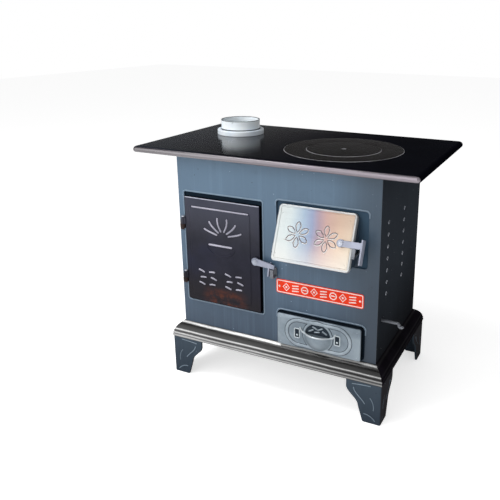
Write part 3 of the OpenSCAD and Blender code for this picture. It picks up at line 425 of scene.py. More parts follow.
def silvery(name, dark, light, rough, grain):
    """Silver paint where it stands proud, made paler as a painted highlight."""
    m = casting(name, dark, light, rough=rough, spec=0.7, grain=grain)
    m.b.inputs["Metallic"].default_value = 0.35
    return m


def firebrick():
    m = Mat("firebrick", Specular_IOR_Level=0.2, Roughness=0.92)
    m.set("Base Color", m.ramp(m.noise(24, 8, 0.7), [
        (0.25, lin(96, 66, 50)), (0.5, lin(168, 122, 92)), (0.75, lin(196, 158, 124))]))
    m.bump(m.noise(120, 6, 0.7), 0.6, 0.002)
    return m


def heat_tinted():
    """The stoking door: bare ground steel, tinted by heat from left to right, with a pale border."""
    m = Mat("heat_tinted_steel", Metallic=0.5)
    wander = m.times(m.minus(m.noise(7, 4, 0.5), 0.5), 0.16)
    across = m.math("ADD", m.span(m.axis(0), 0.027, 0.240, smooth=False), wander)
    warm = m.ramp(across, [
        (0.0, lin(184, 189, 188)), (0.16, lin(180, 189, 190)), (0.34, lin(142, 159, 176)),
        (0.46, lin(128, 138, 163)), (0.54, lin(146, 130, 143)), (0.64, lin(178, 148, 143)),
        (0.80, lin(198, 175, 155)), (1.0, lin(202, 190, 170))])
    browned = m.times(m.span(m.axis(2), 0.475, 0.545), m.span(m.axis(0), 0.120, 0.190))
    warm = m.mix(m.times(browned, 0.45), warm, lin(148, 118, 104))
    warm = m.mix(m.times(m.span(m.axis(2), 0.500, 0.425), 0.55), warm, lin(206, 203, 198))
    slope = m.math("ADD", m.times(m.math("ADD", m.axis(1), 0.181), 0.3907),
                   m.times(m.minus(m.axis(2), 0.554), 0.9205))
    side_d = m.minus(m.math("ABSOLUTE", m.minus(m.axis(0), 0.133)), 0.1065)
    end_d = m.minus(m.math("ABSOLUTE", m.math("ADD", slope, 0.06755)), 0.07325)
    border = m.span(m.math("MAXIMUM", side_d, end_d), -0.0062, -0.0040)
    warm = m.mix(m.times(border, 0.8), warm, lin(196, 200, 202))
    warm = m.mix(m.times(m.specks(38, 0.06), 0.7), warm, lin(150, 128, 96))
    m.set("Base Color", warm)
    brushed = m.noise(1.0, 4, 0.6, at=m.scaled(8, 300, 300))
    m.set("Roughness", m.span(brushed, 0.25, 0.8, 0.30, 0.46))
    m.bump(brushed, 0.06, 0.0004)
    m.bump(m.noise(30, 3, 0.5), 0.10, 0.001)
    return m


def enamel(name, tones, spec, mottle, grain, rough):
    """Enamel on the small plate: mottled in two tones. mottle is the noise's three values and its span."""
    m = Mat(name, Specular_IOR_Level=spec)
    m.set("Base Color", m.mix(m.span(m.noise(*mottle[:3]), *mottle[3:]), *tones))
    m.set("Roughness", m.span(m.noise(*grain, 0.6), 0.3, 0.8, *rough))
    m.bump(m.noise(200, 2, 0.5), 0.08, 0.0003)
    return m


left_paint = painted("left_paint", **PAINT)
paint = front_paint()
# a darker copy of the body paint for the right, back and bottom: painted shade
shaded_side_paint = painted("shaded_side_paint", lin(56, 61, 68), lin(27, 28, 31), z0=0.14, z1=0.42, rough=0.7, spec=0.0,
                     streak=0.06)
# the chute in a darker copy of the body paint: painted shade
shaded_chute_paint = painted("shaded_chute_paint", lin(60, 75, 92), lin(40, 50, 62), rough=0.5, spec=0.2, speck=False)
leg_paint = leg_coat("leg_paint", lin(66, 77, 88), lin(50, 59, 70), 0.5, 0.08)
# a paler copy of the leg paint for the raised scrollwork: painted highlight
leg_relief_highlight = leg_coat("leg_relief_highlight", lin(122, 138, 152), lin(94, 110, 124), 0.4, 0.6)
plate_m = plate_black()
ring_m = ring_black()
gloss = gloss_front()
shaded_gloss_side = gloss_away()
iron = door_casting()
# a paler copy of the door casting for its raised motif: painted highlight
iron_highlight = casting("door_highlight", lin(138, 137, 152), lin(184, 182, 198), rough=0.34, spec=0.6, grain=0.10)
rough_iron = casting("rough_casting", lin(32, 27, 27), lin(50, 41, 38), rough=0.6, spec=0.15, rust=0.5,
                     rust_z=(0.2, 0.6))
silver = drawer_casting()
silver_soft_highlight = silvery("silver_soft_highlight", lin(122, 135, 145), lin(158, 169, 178), 0.36, 0.18)
silver_bright_highlight = silvery("silver_bright_highlight", lin(168, 178, 184), lin(208, 215, 219), 0.34, 0.12)
# dark lines and sheets on the drawer front: painted shade
crevice_shade = casting("drawer_crevice_shade", lin(36, 44, 52), lin(56, 65, 74), rough=0.6, spec=0.05, grain=0.3)
galv = metal("galvanised", lin(220, 230, 240), lin(240, 246, 250), rough=0.42, metallic=0.15,
             grain=(30, 30, 260), scratch=0.06, spots=lin(140, 150, 160))
galv_bright = metal("galvanised_spigot", lin(238, 248, 255), lin(248, 253, 255), rough=0.5, metallic=0.05,
                    grain=(30, 30, 260), scratch=0.05, spots=lin(150, 160, 170))
seam = casting("pipe_seam", lin(60, 66, 72), lin(90, 97, 104), rough=0.6, spec=0.1, grain=0.1)
zinc = metal("zinc_plate", lin(150, 155, 168), lin(196, 199, 208), rough=0.34, metallic=0.6,
             spots=lin(120, 112, 104))
lever_zinc = metal("lever_zinc", lin(132, 137, 154), lin(170, 174, 190), rough=0.44, metallic=0.35,
                   spots=lin(110, 108, 108))
# the keepers and the shaker rod in a darker copy of the lever zinc: painted shade
keeper_zinc_shaded = metal("keeper_zinc_shaded", lin(92, 96, 104), lin(126, 129, 136), rough=0.46, metallic=0.35,
                    spots=lin(80, 76, 72))
sheet = metal("plain_sheet", lin(92, 96, 100), lin(128, 130, 132), rough=0.5, metallic=0.6,
              spots=lin(80, 62, 50))
brick = firebrick()
tint = heat_tinted()
# dark and light outlines for the stoking door's rosettes: painted shade and painted highlight
tint_shade_line = metal("steel_shade_line", lin(88, 82, 88), lin(118, 110, 114), rough=0.45, metallic=0.3)
tint_glint = metal("steel_glint", lin(206, 206, 204), lin(226, 224, 220), rough=0.4, metallic=0.2)
red = enamel("red_enamel", (lin(240, 66, 34), lin(226, 50, 26)), 0.1, (30, 6, 0.6, 0.35, 0.8), (70, 4),
             (0.30, 0.45))
white = enamel("pale_enamel", (lin(250, 226, 220), lin(240, 196, 188)), 0.4, (60, 5, 0.6, 0.4, 0.8), (90, 4),
               (0.35, 0.5))

# ------ mesh helpers


def turns(n):
    """n angles that share out a full turn."""
    return [2 * math.pi * i / n for i in range(n)]


class Form:
    """Verts and faces in millimetres, gathered into one piece."""

    def __init__(self):
        self.v, self.f = [], []

    def add(self, verts, faces):
        n = len(self.v)
        self.v += [tuple(p) for p in verts]
        self.f += [tuple(i + n for i in f) for f in faces]
        return self

    def loops(self, rings, cap_first=True, cap_last=True, closed=True):
        """Joins rings of points, all with the same number, into a skin."""
        n = len(rings[0])
        faces = []
        for k in range(len(rings) - 1):
            for i in range(n if closed else n - 1):
                j = (i + 1) % n
                faces.append((k * n + i, k * n + j, (k + 1) * n + j, (k + 1) * n + i))
        if cap_first:
            faces.append(tuple(reversed(range(n))))
        if cap_last:
            faces.append(tuple((len(rings) - 1) * n + i for i in range(n)))
        return self.add([p for r in rings for p in r], faces)

    def pad(self, x, z, w, h, r, steps, n=6, back=True):
        """Rounded rectangles facing the front, each at (inset, y), joined one to the next."""
        rings = [[(x + px, y, z + pz) for px, pz in rounded(w - 2 * i, h - 2 * i, max(r - i, 0.3), n)]
                 for i, y in steps]
        return self.loops(rings, cap_first=back)

    def lathe(self, profile, centre, seg, axis="Z"):
        """A profile of (radius, height) turned about an axis through centre."""
        rings = []
        for a in turns(seg):
            ring = []
            for r, h in profile:
                u, v = r * math.cos(a), r * math.sin(a)
                ring.append({"Z": (centre[0] + u, centre[1] + v, centre[2] + h),
                             "Y": (centre[0] + u, centre[1] - h, centre[2] + v),
                             "X": (centre[0] + h, centre[1] + u, centre[2] + v)}[axis])
            rings.append(ring)
        rings.append(rings[0])
        return self.loops(rings, False, False)

    def tube(self, pts, r, sides, flat, out=(0, -1, 0), closed=False):
        """A ridge along pts. flat scales its height along out; its ends are rounded off."""
        out = Vector(out).normalized()
        pts = [Vector(p) for p in pts]
        rings = []
        m = len(pts)
        for k, p in enumerate(pts):
            a = pts[(k - 1) % m] if closed or k else p
            b = pts[(k + 1) % m] if closed or k < m - 1 else p
            t = (b - a).normalized()
            s = t.cross(out).normalized()
            rings.append((p, s, t))

        def ring(p, s, q):
            return [p + (s * math.cos(a) * r + out * math.sin(a) * r * flat) * q for a in turns(sides)]

        if closed:
            made = [ring(p, s, 1) for p, s, _ in rings]
            made.append(made[0])
            return self.loops(made, False, False)
        (p0, s0, t0), (p1, s1, t1) = rings[0], rings[-1]
        made = [ring(p0 - t0 * r * 0.9, s0, 0.25), ring(p0 - t0 * r * 0.6, s0, 0.75)]
        made += [ring(p, s, 1) for p, s, _ in rings]
        made += [ring(p1 + t1 * r * 0.6, s1, 0.75), ring(p1 + t1 * r * 0.9, s1, 0.25)]
        return self.loops(made)

    def dome(self, x, y, z, r, h, seg, rows):
        """A low dome facing the front, its foot on the plane y."""
        rings = [[(x + r * math.cos(b) * math.cos(a), y - h * math.sin(b), z + r * math.cos(b) * math.sin(a))
                  for a in turns(seg)]
                 for b in [0.5 * math.pi * k / rows * 0.96 for k in range(rows + 1)]]
        return self.loops(rings)

    def block(self, lo, hi, w):
        """A box with bevelled edges."""
        bm = bmesh.new()
        bmesh.ops.create_cube(bm, size=1)
        for v in bm.verts:
            v.co = Vector([lo[i] + (v.co[i] + 0.5) * (hi[i] - lo[i]) for i in range(3)])
        bmesh.ops.bevel(bm, geom=list(bm.edges), offset=w, segments=2, profile=0.5, affect="EDGES")
        bm.verts.index_update()
        self.add([tuple(v.co) for v in bm.verts], [tuple(v.index for v in f.verts) for f in bm.faces])
        bm.free()
        return self

    def moved(self, fn):
        self.v = [tuple(fn(Vector(p))) for p in self.v]
        return self


def rounded(w, h, r, n):
    """Points of a rectangle with round corners, centred on the origin."""
    pts = []
    for q, (sx, sz) in enumerate(((1, 1), (-1, 1), (-1, -1), (1, -1))):
        for i in range(n + 1):
            a = math.pi / 2 * (q + i / n)
            pts.append((sx * (w / 2 - r) + r * math.cos(a), sz * (h / 2 - r) + r * math.sin(a)))
    return pts


def weighted(o):
    o.modifiers.new("weighted", "WEIGHTED_NORMAL").keep_sharp = True
    return o


def made(name, form, mat, body="stove", smooth=38, stands_for=(), slot=None, weight=True):
    me = bpy.data.meshes.new(name)
    me.from_pydata([(x * K, y * K, z * K) for x, y, z in form.v], [], form.f)
    bm = bmesh.new()
    bm.from_mesh(me)
    bmesh.ops.remove_doubles(bm, verts=bm.verts, dist=1e-7)
    bmesh.ops.recalc_face_normals(bm, faces=bm.faces)
    bm.to_mesh(me)
    bm.free()
    me.shade_smooth()
    me.set_sharp_from_angle(angle=math.radians(smooth))
    o = bpy.data.objects.new(name, me)
    scene.collection.objects.link(o)
    me.materials.append(mat.m)
    if weight:
        weighted(o)
    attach(o, body)
    if stands_for:
        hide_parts(*stands_for)
    return o


body_of = {n: o["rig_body"] for n, o in nodes.items()}


def soften(node, mat, w):
    """A copy of a CAD node with its sharp edges rounded over, w wide, standing for it."""
    me = bpy.data.meshes.new(node + "_soft")
    bm = bmesh.new()
    bm.from_mesh(nodes[node].data)
    bmesh.ops.remove_doubles(bm, verts=bm.verts, dist=2e-6)
    bmesh.ops.dissolve_limit(bm, angle_limit=math.radians(0.8), verts=bm.verts, edges=bm.edges)
    sharp = [e for e in bm.edges if len(e.link_faces) == 2 and e.calc_face_angle(0) > math.radians(30)]
    bmesh.ops.bevel(bm, geom=sharp, offset=w * K, segments=2, profile=0.5, affect="EDGES",
                    clamp_overlap=False, offset_type="OFFSET")
    bm.to_mesh(me)
    bm.free()
    me.shade_smooth()
    me.set_sharp_from_angle(angle=math.radians(46))
    me.materials.append(mat.m)
    o = bpy.data.objects.new(node + "_soft", me)
    scene.collection.objects.link(o)
    weighted(o)
    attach(o, body_of[node])
    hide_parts(node)


def dress(mat, *names):
    for n in names:
        me = nodes[n].data
        me.materials.clear()
        me.materials.append(mat.m)


# ------ CAD nodes that keep their shape

dress(shaded_side_paint, "right_panel", "back_panel", "bottom_pan")
dress(left_paint, "left_panel")
dress(sheet, "oven_box", "oven_rails", "oven_shelf", "partition", "ash_pit", "drawer_box")
dress(rough_iron, "grate_frame", "grate", "firebox_casing")
dress(zinc, "collar_screws", "leg_bolts", "leg_nuts", "oven_hinge_pins", "stoking_hinge_pins",
      "drawer_rivets")
dress(keeper_zinc_shaded, "shaker_rod")
dress(brick, "brick_left", "brick_right", "brick_front", "brick_back")

# ------ hotplate, ring, lid, flue

PLATE_W, PLATE_D = 800, 476


def hotplate():
    profile = [(13, TOP), (8.5, TOP - 0.3), (5, TOP - 1.5), (2.3, TOP - 3.8), (0.7, TOP - 6.8), (0, TOP - 10),
               (0.5, TOP - 13), (2, TOP - 15.6), (4.2, TOP - 16.8), (6.5, TOP - 16.2), (8, TOP - 13.8),
               (8.8, TOP - 11), (10.4, TOP - 8.8), (13, UNDER)]
    f = Form()
    rings = [[(x, y, z) for x, y in rounded(PLATE_W - 2 * i, PLATE_D - 2 * i, max(9 - i * 0.5, 3), 8)]
             for i, z in profile]
    f.loops(rings, False, False)
    bm = bmesh.new()
    vs = [bm.verts.new(p) for p in f.v]
    for face in f.f:
        bm.faces.new([vs[i] for i in face])
    n = len(rings[0])

    def circle(c, r, z):
        return [bm.verts.new((c[0] + r * math.cos(a), c[1] + r * math.sin(a), z)) for a in turns(128)]

    def close(loop):
        return [bm.edges.get((a, b)) or bm.edges.new((a, b)) for a, b in zip(loop, loop[1:] + loop[:1])]

    def skin(a, b):
        for i in range(len(a)):
            j = (i + 1) % len(a)
            bm.faces.new((a[i], a[j], b[j], b[i]))

    hole = [circle(HOLE, r, z) for r, z in (
        (163.1, TOP), (162.3, TOP - 0.3), (162, TOP - 1.1), (162, TOP - 4), (154.6, TOP - 4),
        (154, TOP - 4.6), (154, UNDER))]
    flue = [circle(FLUE, r, z) for r, z in ((53.6, TOP), (53, TOP - 0.6), (53, UNDER))]
    for rings_of in (hole, flue):
        for a, b in zip(rings_of, rings_of[1:]):
            skin(a, b)
    bmesh.ops.triangle_fill(bm, use_beauty=True, edges=close(vs[:n]) + close(hole[0]) + close(flue[0]))
    bmesh.ops.triangle_fill(bm, use_beauty=True, edges=close(vs[-n:]) + close(hole[-1]) + close(flue[-1]))
    bm.verts.index_update()
    out = Form().add([tuple(v.co) for v in bm.verts], [tuple(v.index for v in g.verts) for g in bm.faces])
    bm.free()
    return out


made("hotplate_cast", hotplate(), plate_m, smooth=40, stands_for=("hotplate",), slot="black_plate")


def disc_profile(r_out, r_in_top, r_in_low):
    """Half section of a stepped disc or ring, with worn edges. A ring has an inner step for the lid."""
    z = TOP
    pts = [(r_out - 8, UNDER), (r_out - 8, z - 3.7), (r_out, z - 3.7), (r_out, z - 1.2),
           (r_out - 0.35, z - 0.4), (r_out - 1.3, z)]
    if r_in_low:
        pts += [(r_in_top + 1.2, z), (r_in_top + 0.3, z - 0.35), (r_in_top, z - 1.1), (r_in_top, z - 4),
                (r_in_low, z - 4), (r_in_low, UNDER)]
    else:
        pts += [(r_in_top + 2, z), (r_in_top + 0.7, z - 0.5), (r_in_top, z - 1.6), (r_in_top, UNDER)]
    return pts


made("ring_turned", Form().lathe(disc_profile(161, 102, 94), (*HOLE, 0), 160), ring_m,
     stands_for=("cooking_ring",), slot="black_plate")
made("lid_turned", Form().lathe(disc_profile(101, 5, None), (*HOLE, 0), 128), ring_m,
     stands_for=("cooking_lid",), slot="black_plate")
COLLAR = [(53, 0.2), (68.6, 0.2), (69.4, 1), (69.5, 2), (69.5, 11.6), (69.1, 13.4), (67.8, 14.6), (66, 15),
          (61.4, 15), (59.2, 14.2), (57.2, 12.8), (56.9, 12), (56.9, 5), (53, 5)]
SPIGOT = [(55.2, 5), (56.5, 5), (56.5, 14.6), (57.8, 15.4), (57.7, 18), (57.6, 24), (57.7, 36), (57.9, 40),
          (58, 41.6), (57.7, 42.6), (57.1, 43), (56, 42.7), (55.4, 41.8), (55.2, 38)]
JOINT = [(57.2, 13.4), (58, 13.4), (58.25, 13.8), (58.25, 17.2), (58, 17.6), (57.2, 17.6)]
BRIM = [(55.1, 41.6), (55.3, 42.7), (56.4, 43), (57.7, 42.9), (58.2, 42.2), (58, 41.5), (56.5, 41.2)]
made("collar_cast", Form().lathe(COLLAR, (*FLUE, TOP), 128), galv, stands_for=("collar_ring",),
     slot="galvanised")
made("spigot_rolled", Form().lathe(SPIGOT, (*FLUE, TOP), 128), galv_bright, stands_for=("flue_spigot",),
     slot="galvanised")
edges = Form()                               # the dark joint at the spigot's foot and its worn brim
for profile in (JOINT, BRIM):
    edges.lathe(profile, (*FLUE, TOP), 96)
made("spigot_edges", edges, seam, slot="galvanised")

# ------ body, chute, hinges, latches

soften("front_panel", paint, 0.7)
soften("feed_chute", shaded_chute_paint, 0.8)
soften("oven_hinge_lugs", rough_iron, 0.7)
for n in ("oven_lever", "stoking_lever"):
    soften(n, lever_zinc, 0.5)
for n in ("oven_lever_pin", "stoking_lever_pin"):
    soften(n, zinc, 0.5)
for n in ("oven_keeper", "stoking_keeper"):
    soften(n, keeper_zinc_shaded, 0.5)

# bright punched edges of the vent holes
VENT_ROWS, VENT_LOW, VENT_STEP = 7, 334.0, 32.5
VENT_EDGE = [(3.9, -0.5), (4.9, -0.3), (5.2, 0.05), (4.9, 0.5), (4.3, 0.8), (3.9, 0.4)]
lo, hi = box_mm("right_panel")
vents = Form()
for y in (FRONT + 64, FRONT + 202):
    for i in range(VENT_ROWS):
        vents.lathe(VENT_EDGE, (hi[0], y, VENT_LOW + VENT_STEP * i), 20, "X")
made("vent_edges", vents, zinc, slot="zinc_plate")

# ------ base moulding

BODY_W, BODY_D, MID_Y, LEG_H, MOULD = 592.0, 355.0, -3.5, 115.0, 30.0


def arc(cx, cz, r, a0, a1, n):
    """Points of an arc, its angles in degrees."""
    return [(cx + r * math.cos(math.radians(a0 + (a1 - a0) * i / n)),
             cz + r * math.sin(math.radians(a0 + (a1 - a0) * i / n))) for i in range(n + 1)]


def bow(a, b, sag, n):
    """Points from a to b along a shallow outward curve."""
    d = Vector((b[0] - a[0], b[1] - a[1]))
    out = Vector((-d.y, d.x)).normalized()
    return [tuple(Vector(a) + d * i / n + out * sag * 4 * (i / n) * (1 - i / n)) for i in range(n + 1)]


# the moulding's section: a round over two reeds, each point (out from the body, height)
section = ([(0, 45), (2, 45)] + bow((3, 44), (26, 17.5), 3.4, 12) + [(24.6, 16.5), (24.6, 15.5)]
           + bow((26.4, 15), (27, 9.5), 1.1, 6) + bow((27, 8.6), (27.4, 2.4), 1.4, 6)
           + [(27, 0.2), (22, 0.2), (22, 15), (20.5, 21), (15.5, 28.5), (6, 38), (0, 40.5)])


def moulding(length, off, quarter):
    half = length / 2
    turn = Matrix.Rotation(math.radians(90 * quarter), 3, "Z")
    rings = []
    for i in range(25):
        t = -1 + 2 * i / 24
        ring = []
        for u, z in section:
            ring.append(turn @ Vector((t * (half + u), -off - u, z)) + Vector((0, MID_Y, LEG_H)))
        rings.append(ring)
    return Form().loops(rings)


SIDES = (("front", gloss), ("right", shaded_gloss_side), ("back", shaded_gloss_side), ("left", gloss))
for quarter, (side, finish) in enumerate(SIDES):
    long, deep = (BODY_W, BODY_D) if quarter % 2 == 0 else (BODY_D, BODY_W)
    made(f"moulding_{side}_cast", moulding(long, deep / 2, quarter), finish, smooth=32,
         stands_for=("moulding_" + side,), slot="gloss_black")

# ------ legs

LEG_X, LEG_Y = BODY_W / 2 + MOULD - 3, BODY_D / 2 + MOULD - 3
LEG_W, LEG_FOOT, LEG_T = 98.0, 50.0, 6.0


def leg_width(z):
    """The leg's width at height z: a straight shin, an ogee and a straight top."""
    shin, calf, knee = 0.4 * LEG_H, 0.84 * LEG_H, LEG_FOOT + 14
    if z < shin:
        return LEG_FOOT + (knee - LEG_FOOT) * z / shin
    if z > calf:
        return LEG_W
    return knee + (LEG_W - knee) * (1 - math.cos(math.pi * (z - shin) / (calf - shin))) / 2


def leg():
    """A leg from its corner inwards: two cast faces that meet in a rounded edge, with a shelf on top."""
    f = Form()
    rings = []
    for i in range(47):
        z = LEG_H * i / 46
        w = leg_width(z) - (1.2 if i == 0 else 0)
        t = LEG_T
        corner = arc(3.5, 3.5, 3.5, 180, 270, 5)
        ring = ([(1.5, w), (0.5, w - 0.4), (0, w - 1.5)] + corner
                + [(w - 1.5, 0), (w - 0.4, 0.5), (w, 1.5), (w, t - 1), (w - 0.8, t), (t + 2, t)]
                + [(t + 0.6, t + 0.6), (t, t + 2), (t, w - 0.8), (t - 1, w)])
        rings.append([(x, y, z) for x, y in ring])
    f.loops(rings)
    far = LEG_W * 0.98
    shelf = [(3, 3), (far, 3), (far, 33), (33, far), (3, far)]
    f.loops([[(x, y, z) for x, y in shelf] for z in (LEG_H - LEG_T, LEG_H - 0.1)])
    return f


def leg_scroll():
    """Raised scrollwork on the leg's two faces."""
    f = Form()
    inset = 22                                # the long leaf line keeps this far inside the leg's curved edge
    lines = [
        (bow((30, 110), (80, 106), 0.5, 6), 1.5),
        ([(leg_width(z) - inset, z) for z in range(55, 100, 5)], 1.8),
        (bow((15, 10), (45, 25), 4, 8)[::-1], 1.8),
        (bow((30, 75), (20, 40), -4, 8), 1.1),
    ]
    for pts, r in lines:
        f.tube([(x, 0.2, z) for x, z in pts], r, 8, 0.8, (0, -1, 0))
        f.tube([(0.2, x, z) for x, z in pts], r, 8, 0.8, (-1, 0, 0))
    return f


for name, sx, sy in (("leg_front_left", -1, -1), ("leg_front_right", 1, -1), ("leg_back_left", -1, 1),
                     ("leg_back_right", 1, 1)):
    one = leg().moved(lambda p: Vector((sx * (LEG_X - p.x), MID_Y + sy * (LEG_Y - p.y), p.z)))
    made(name + "_cast", one, leg_paint, stands_for=(name,), slot="body_paint")
    scroll = leg_scroll().moved(lambda p: Vector((sx * (LEG_X - p.x), MID_Y + sy * (LEG_Y - p.y), p.z)))
    # the scrollwork in the paler leg paint, a painted highlight
    made(name + "_scroll", scroll, leg_relief_highlight, slot="body_paint", smooth=60)

# ------ oven door

OX, OZ, OW, OH = -154.0, 240.5, 235.0, 305.0
OFACE = FRONT + 4 - 0.3 - 12                 # a casting 12 thick, 0.3 off its seat
OMID = OZ + OH / 2


def hinge_knuckle(f, x, y, z0, z1, r):
    return f.lathe([(3.1, 0), (r - 0.6, 0), (r, 0.6), (r, z1 - z0 - 0.6), (r - 0.6, z1 - z0), (3.1, z1 - z0)],
                   (x, y, z0), 28)


door = Form()
back = -177.3
door.pad(OX, OMID, OW, OH, 3, [(10, OFACE + 5), (10, back), (0.8, back), (0, back - 0.8), (0, OFACE + 1.4),
                              (0.4, OFACE + 0.4), (1.4, OFACE)])
door.pad(OX - 6, OZ + (16 + OH - 26) / 2, OW - 45, OH - 42, 6, [
    (-2.2, OFACE + 0.3), (-1.4, OFACE - 0.2), (-0.4, OFACE - 1.2), (0.6, OFACE - 1.8), (2.2, OFACE - 2),
    (8, OFACE - 2.05)], back=False)
FACE2 = OFACE - 1.9                          # the raised panel's face
TOP_HIGHLIGHT_Z, BAR_Z, BARS_Z, BARS_STEP = 519.6, 417, 334, 19
motif = Form()
# a pale ridge along the raised panel's top edge: painted highlight
motif.tube([(OX - 6 - 86 + 176 * i / 12, FACE2 + 0.2, TOP_HIGHLIGHT_Z) for i in range(13)], 2.3, 8, 0.8)
mx, mz = OX + 4, 442                         # where the rays start from
for a in range(-70, 71, 28):                 # a fan of bent rays over a bar and a plain bowl
    c, s = math.cos(math.radians(a)), math.sin(math.radians(a))
    bend = math.copysign(4, a)
    motif.tube([(mx + s * q * 1.12 + bend * k2, FACE2, mz + c * q) for q, k2 in
                ((18, 0), (28, 0.6), (38, 0.9), (48, 0.6), (55, 0))], 2.5, 10, 0.85)
motif.tube([(mx + dx, FACE2, BAR_Z) for dx in (-44, -8, 27)], 2.9, 10, 0.8)
swing = [-1.25 + 2.5 * i / 18 for i in range(19)]
bowl = [(mx - 8 + 46 * math.sin(t), FACE2, BAR_Z + 3 - 34 * math.cos(t)) for t in swing]
door.tube(bowl, 3.2, 8, 0.6)
for x0 in (OX - 52, OX + 34):                # two groups of slanting bars below
    for row in range(3):
        for col in range(2):
            x, z = x0 + (col - 0.5) * 34 + row % 2 * 5, BARS_Z - row * BARS_STEP
            tip = 2.5 - 3 * ((row + col) % 2)
            motif.tube([(x - 8, FACE2, z + tip), (x, FACE2, z + 0.6), (x + 8, FACE2, z - tip)], 2.4, 8, 0.8)
OVEN_PIN = (OX - OW / 2 - 7.5, -188.8)       # the hinge pins' line, seen from above
for z in (OZ + 62, OZ + 224):
    hinge_knuckle(door, *OVEN_PIN, z + 0.3, z + 20.3, 6)
    door.block((OVEN_PIN[0], OVEN_PIN[1] - 3, z + 0.4), (OX - OW / 2 + 1.5, OVEN_PIN[1] + 3, z + 20.2), 0.5)
door.lathe([(0.1, 3.3), (8, 3.3), (9, 2.6), (9.2, -1)], (-47, OFACE, 392), 28, "Y")
# the motif in the paler casting: painted highlight
made("oven_door_motif", motif, iron_highlight, "oven_door", slot="black_casting", smooth=50)
made("oven_door_cast", door, iron, "oven_door", stands_for=("oven_door",), slot="black_casting", smooth=34)

# ------ stoking door

SLANT = math.radians(23)
MOUTH_TOP = 554


def from_mouth(p):
    """From the slanted mouth's frame to the stove's."""
    c, s = math.cos(SLANT), math.sin(SLANT)
    return Vector((p.x, FRONT + p.y * c + p.z * s, MOUTH_TOP - p.y * s + p.z * c))


SX, SW, SH, STOP = 133.0, 213.0, 146.5, 5.7
SFACE = -12.3
SMID = STOP - SH / 2
stoke = Form()
stoke.pad(SX, SMID, SW, SH, 10, [
    (12, SFACE + 5), (12, -0.3), (1, -0.3), (0, -1.2), (0, SFACE + 2), (0.6, SFACE + 0.7), (2, SFACE),
    (4.5, SFACE), (5.4, SFACE - 0.9), (6.6, SFACE - 1), (7.8, SFACE - 0.9), (8.8, SFACE - 0.05),
    (14, SFACE)], 8)
lines, glints = Form(), Form()
PETAL = ((0, 0), (0.25, 4.8), (0.6, 7), (0.88, 4.2), (1, 0), (0.88, -4.2), (0.6, -7), (0.25, -4.8))
for cxm in (SX - 44, SX + 34):                # two plain rosettes, embossed: a dark edge of painted shade and a light one of painted highlight
    for k in range(6):
        a = math.pi / 3 * k + math.pi / 6
        for form, shift, r in ((lines, 0, 1.4), (glints, 1, 1.0)):
            form.tube([(cxm + (6 + q * 27) * math.cos(a) - w * math.sin(a) + 1.1 * shift, SFACE,
                        SMID + (6 + q * 27) * math.sin(a) + w * math.cos(a) - 1.5 * shift)
                       for q, w in PETAL], r, 6, 0.5, closed=True)
for dx, dz in ((-96, -54), (90, 52), (92, -56), (-94, 50)):
    stoke.dome(SX + dx, SFACE + 0.1, SMID + dz, 1.8, 0.8, 12, 3)
for z in (-118, -44):
    hinge_knuckle(stoke, 23, 6, z + 0.3, z + 20.3, 5)
    stoke.block((23.5, -0.8, z + 0.5), (31, 5.6, z + 20.1), 0.4)
stoke.lathe([(0.1, 3.3), (7, 3.3), (8, 2.6), (8.2, -1)], (209, SFACE, -72), 28, "Y")
made("stoking_door_shade_lines", lines.moved(from_mouth), tint_shade_line, "stoking_door", slot="bare_steel", smooth=50)
made("stoking_door_glints", glints.moved(from_mouth), tint_glint, "stoking_door", slot="bare_steel",
     smooth=50)
made("stoking_door_steel", stoke.moved(from_mouth), tint, "stoking_door", stands_for=("stoking_door",),
     slot="bare_steel", smooth=34)

# ------ red plate

LX, LZ, LW, LH = 134.0, 329.5, 250.0, 40.0
LY = FRONT - 1.5
plate_steps = [(0, FRONT - 0.05), (0, LY + 0.5), (0.15, LY + 0.15), (0.5, LY)]
made("plate_red", Form().pad(LX, LZ, LW, LH, 6, plate_steps), red, stands_for=("red_plate",),
     slot="red_enamel")
marks = Form()
ring_steps = [(2.0, LY + 0.1), (2.0, LY - 0.25), (2.6, LY - 0.4), (4.0, LY - 0.4), (4.6, LY - 0.25),
              (4.6, LY + 0.1)]
marks.pad(LX, LZ, LW, LH, 6, ring_steps, back=False)
marks.f.pop()                                # the border is an open frame, not a plate
for i in range(8):                           # a row of plain shapes: diamonds, discs and bars
    x = LX - 94.5 + 27 * i
    if i % 3 == 0:
        d = [(0, 10.5), (9.4, 0), (0, -10.5), (-9.4, 0)]
        marks.tube([(x + a, LY - 0.05, LZ + b) for a, b in d], 1.5, 6, 0.4, closed=True)
        marks.dome(x, LY + 0.1, LZ, 3.2, 0.6, 14, 3)
    elif i % 3 == 1:
        for dz in (-7.5, 0, 7.5):
            marks.tube([(x - 8.5, LY - 0.05, LZ + dz - 1), (x + 8.5, LY - 0.05, LZ + dz + 1)], 1.6, 6, 0.4)
    else:
        marks.tube([(x + 9.2 * math.cos(t), LY - 0.05, LZ + 9.2 * math.sin(t)) for t in turns(20)],
                   1.5, 6, 0.4, closed=True)
        marks.tube([(x - 5, LY - 0.05, LZ), (x + 5, LY - 0.05, LZ)], 1.5, 6, 0.4)
made("plate_marks", marks, white, slot="rivet_white")
studs = Form()
for s in (-1, 1):
    studs.dome(LX + s * 115, LY + 0.05, LZ, 3, 1.6, 20, 5)
made("plate_studs", studs, white, stands_for=("plate_rivets",), slot="rivet_white")

# ------ ash drawer front

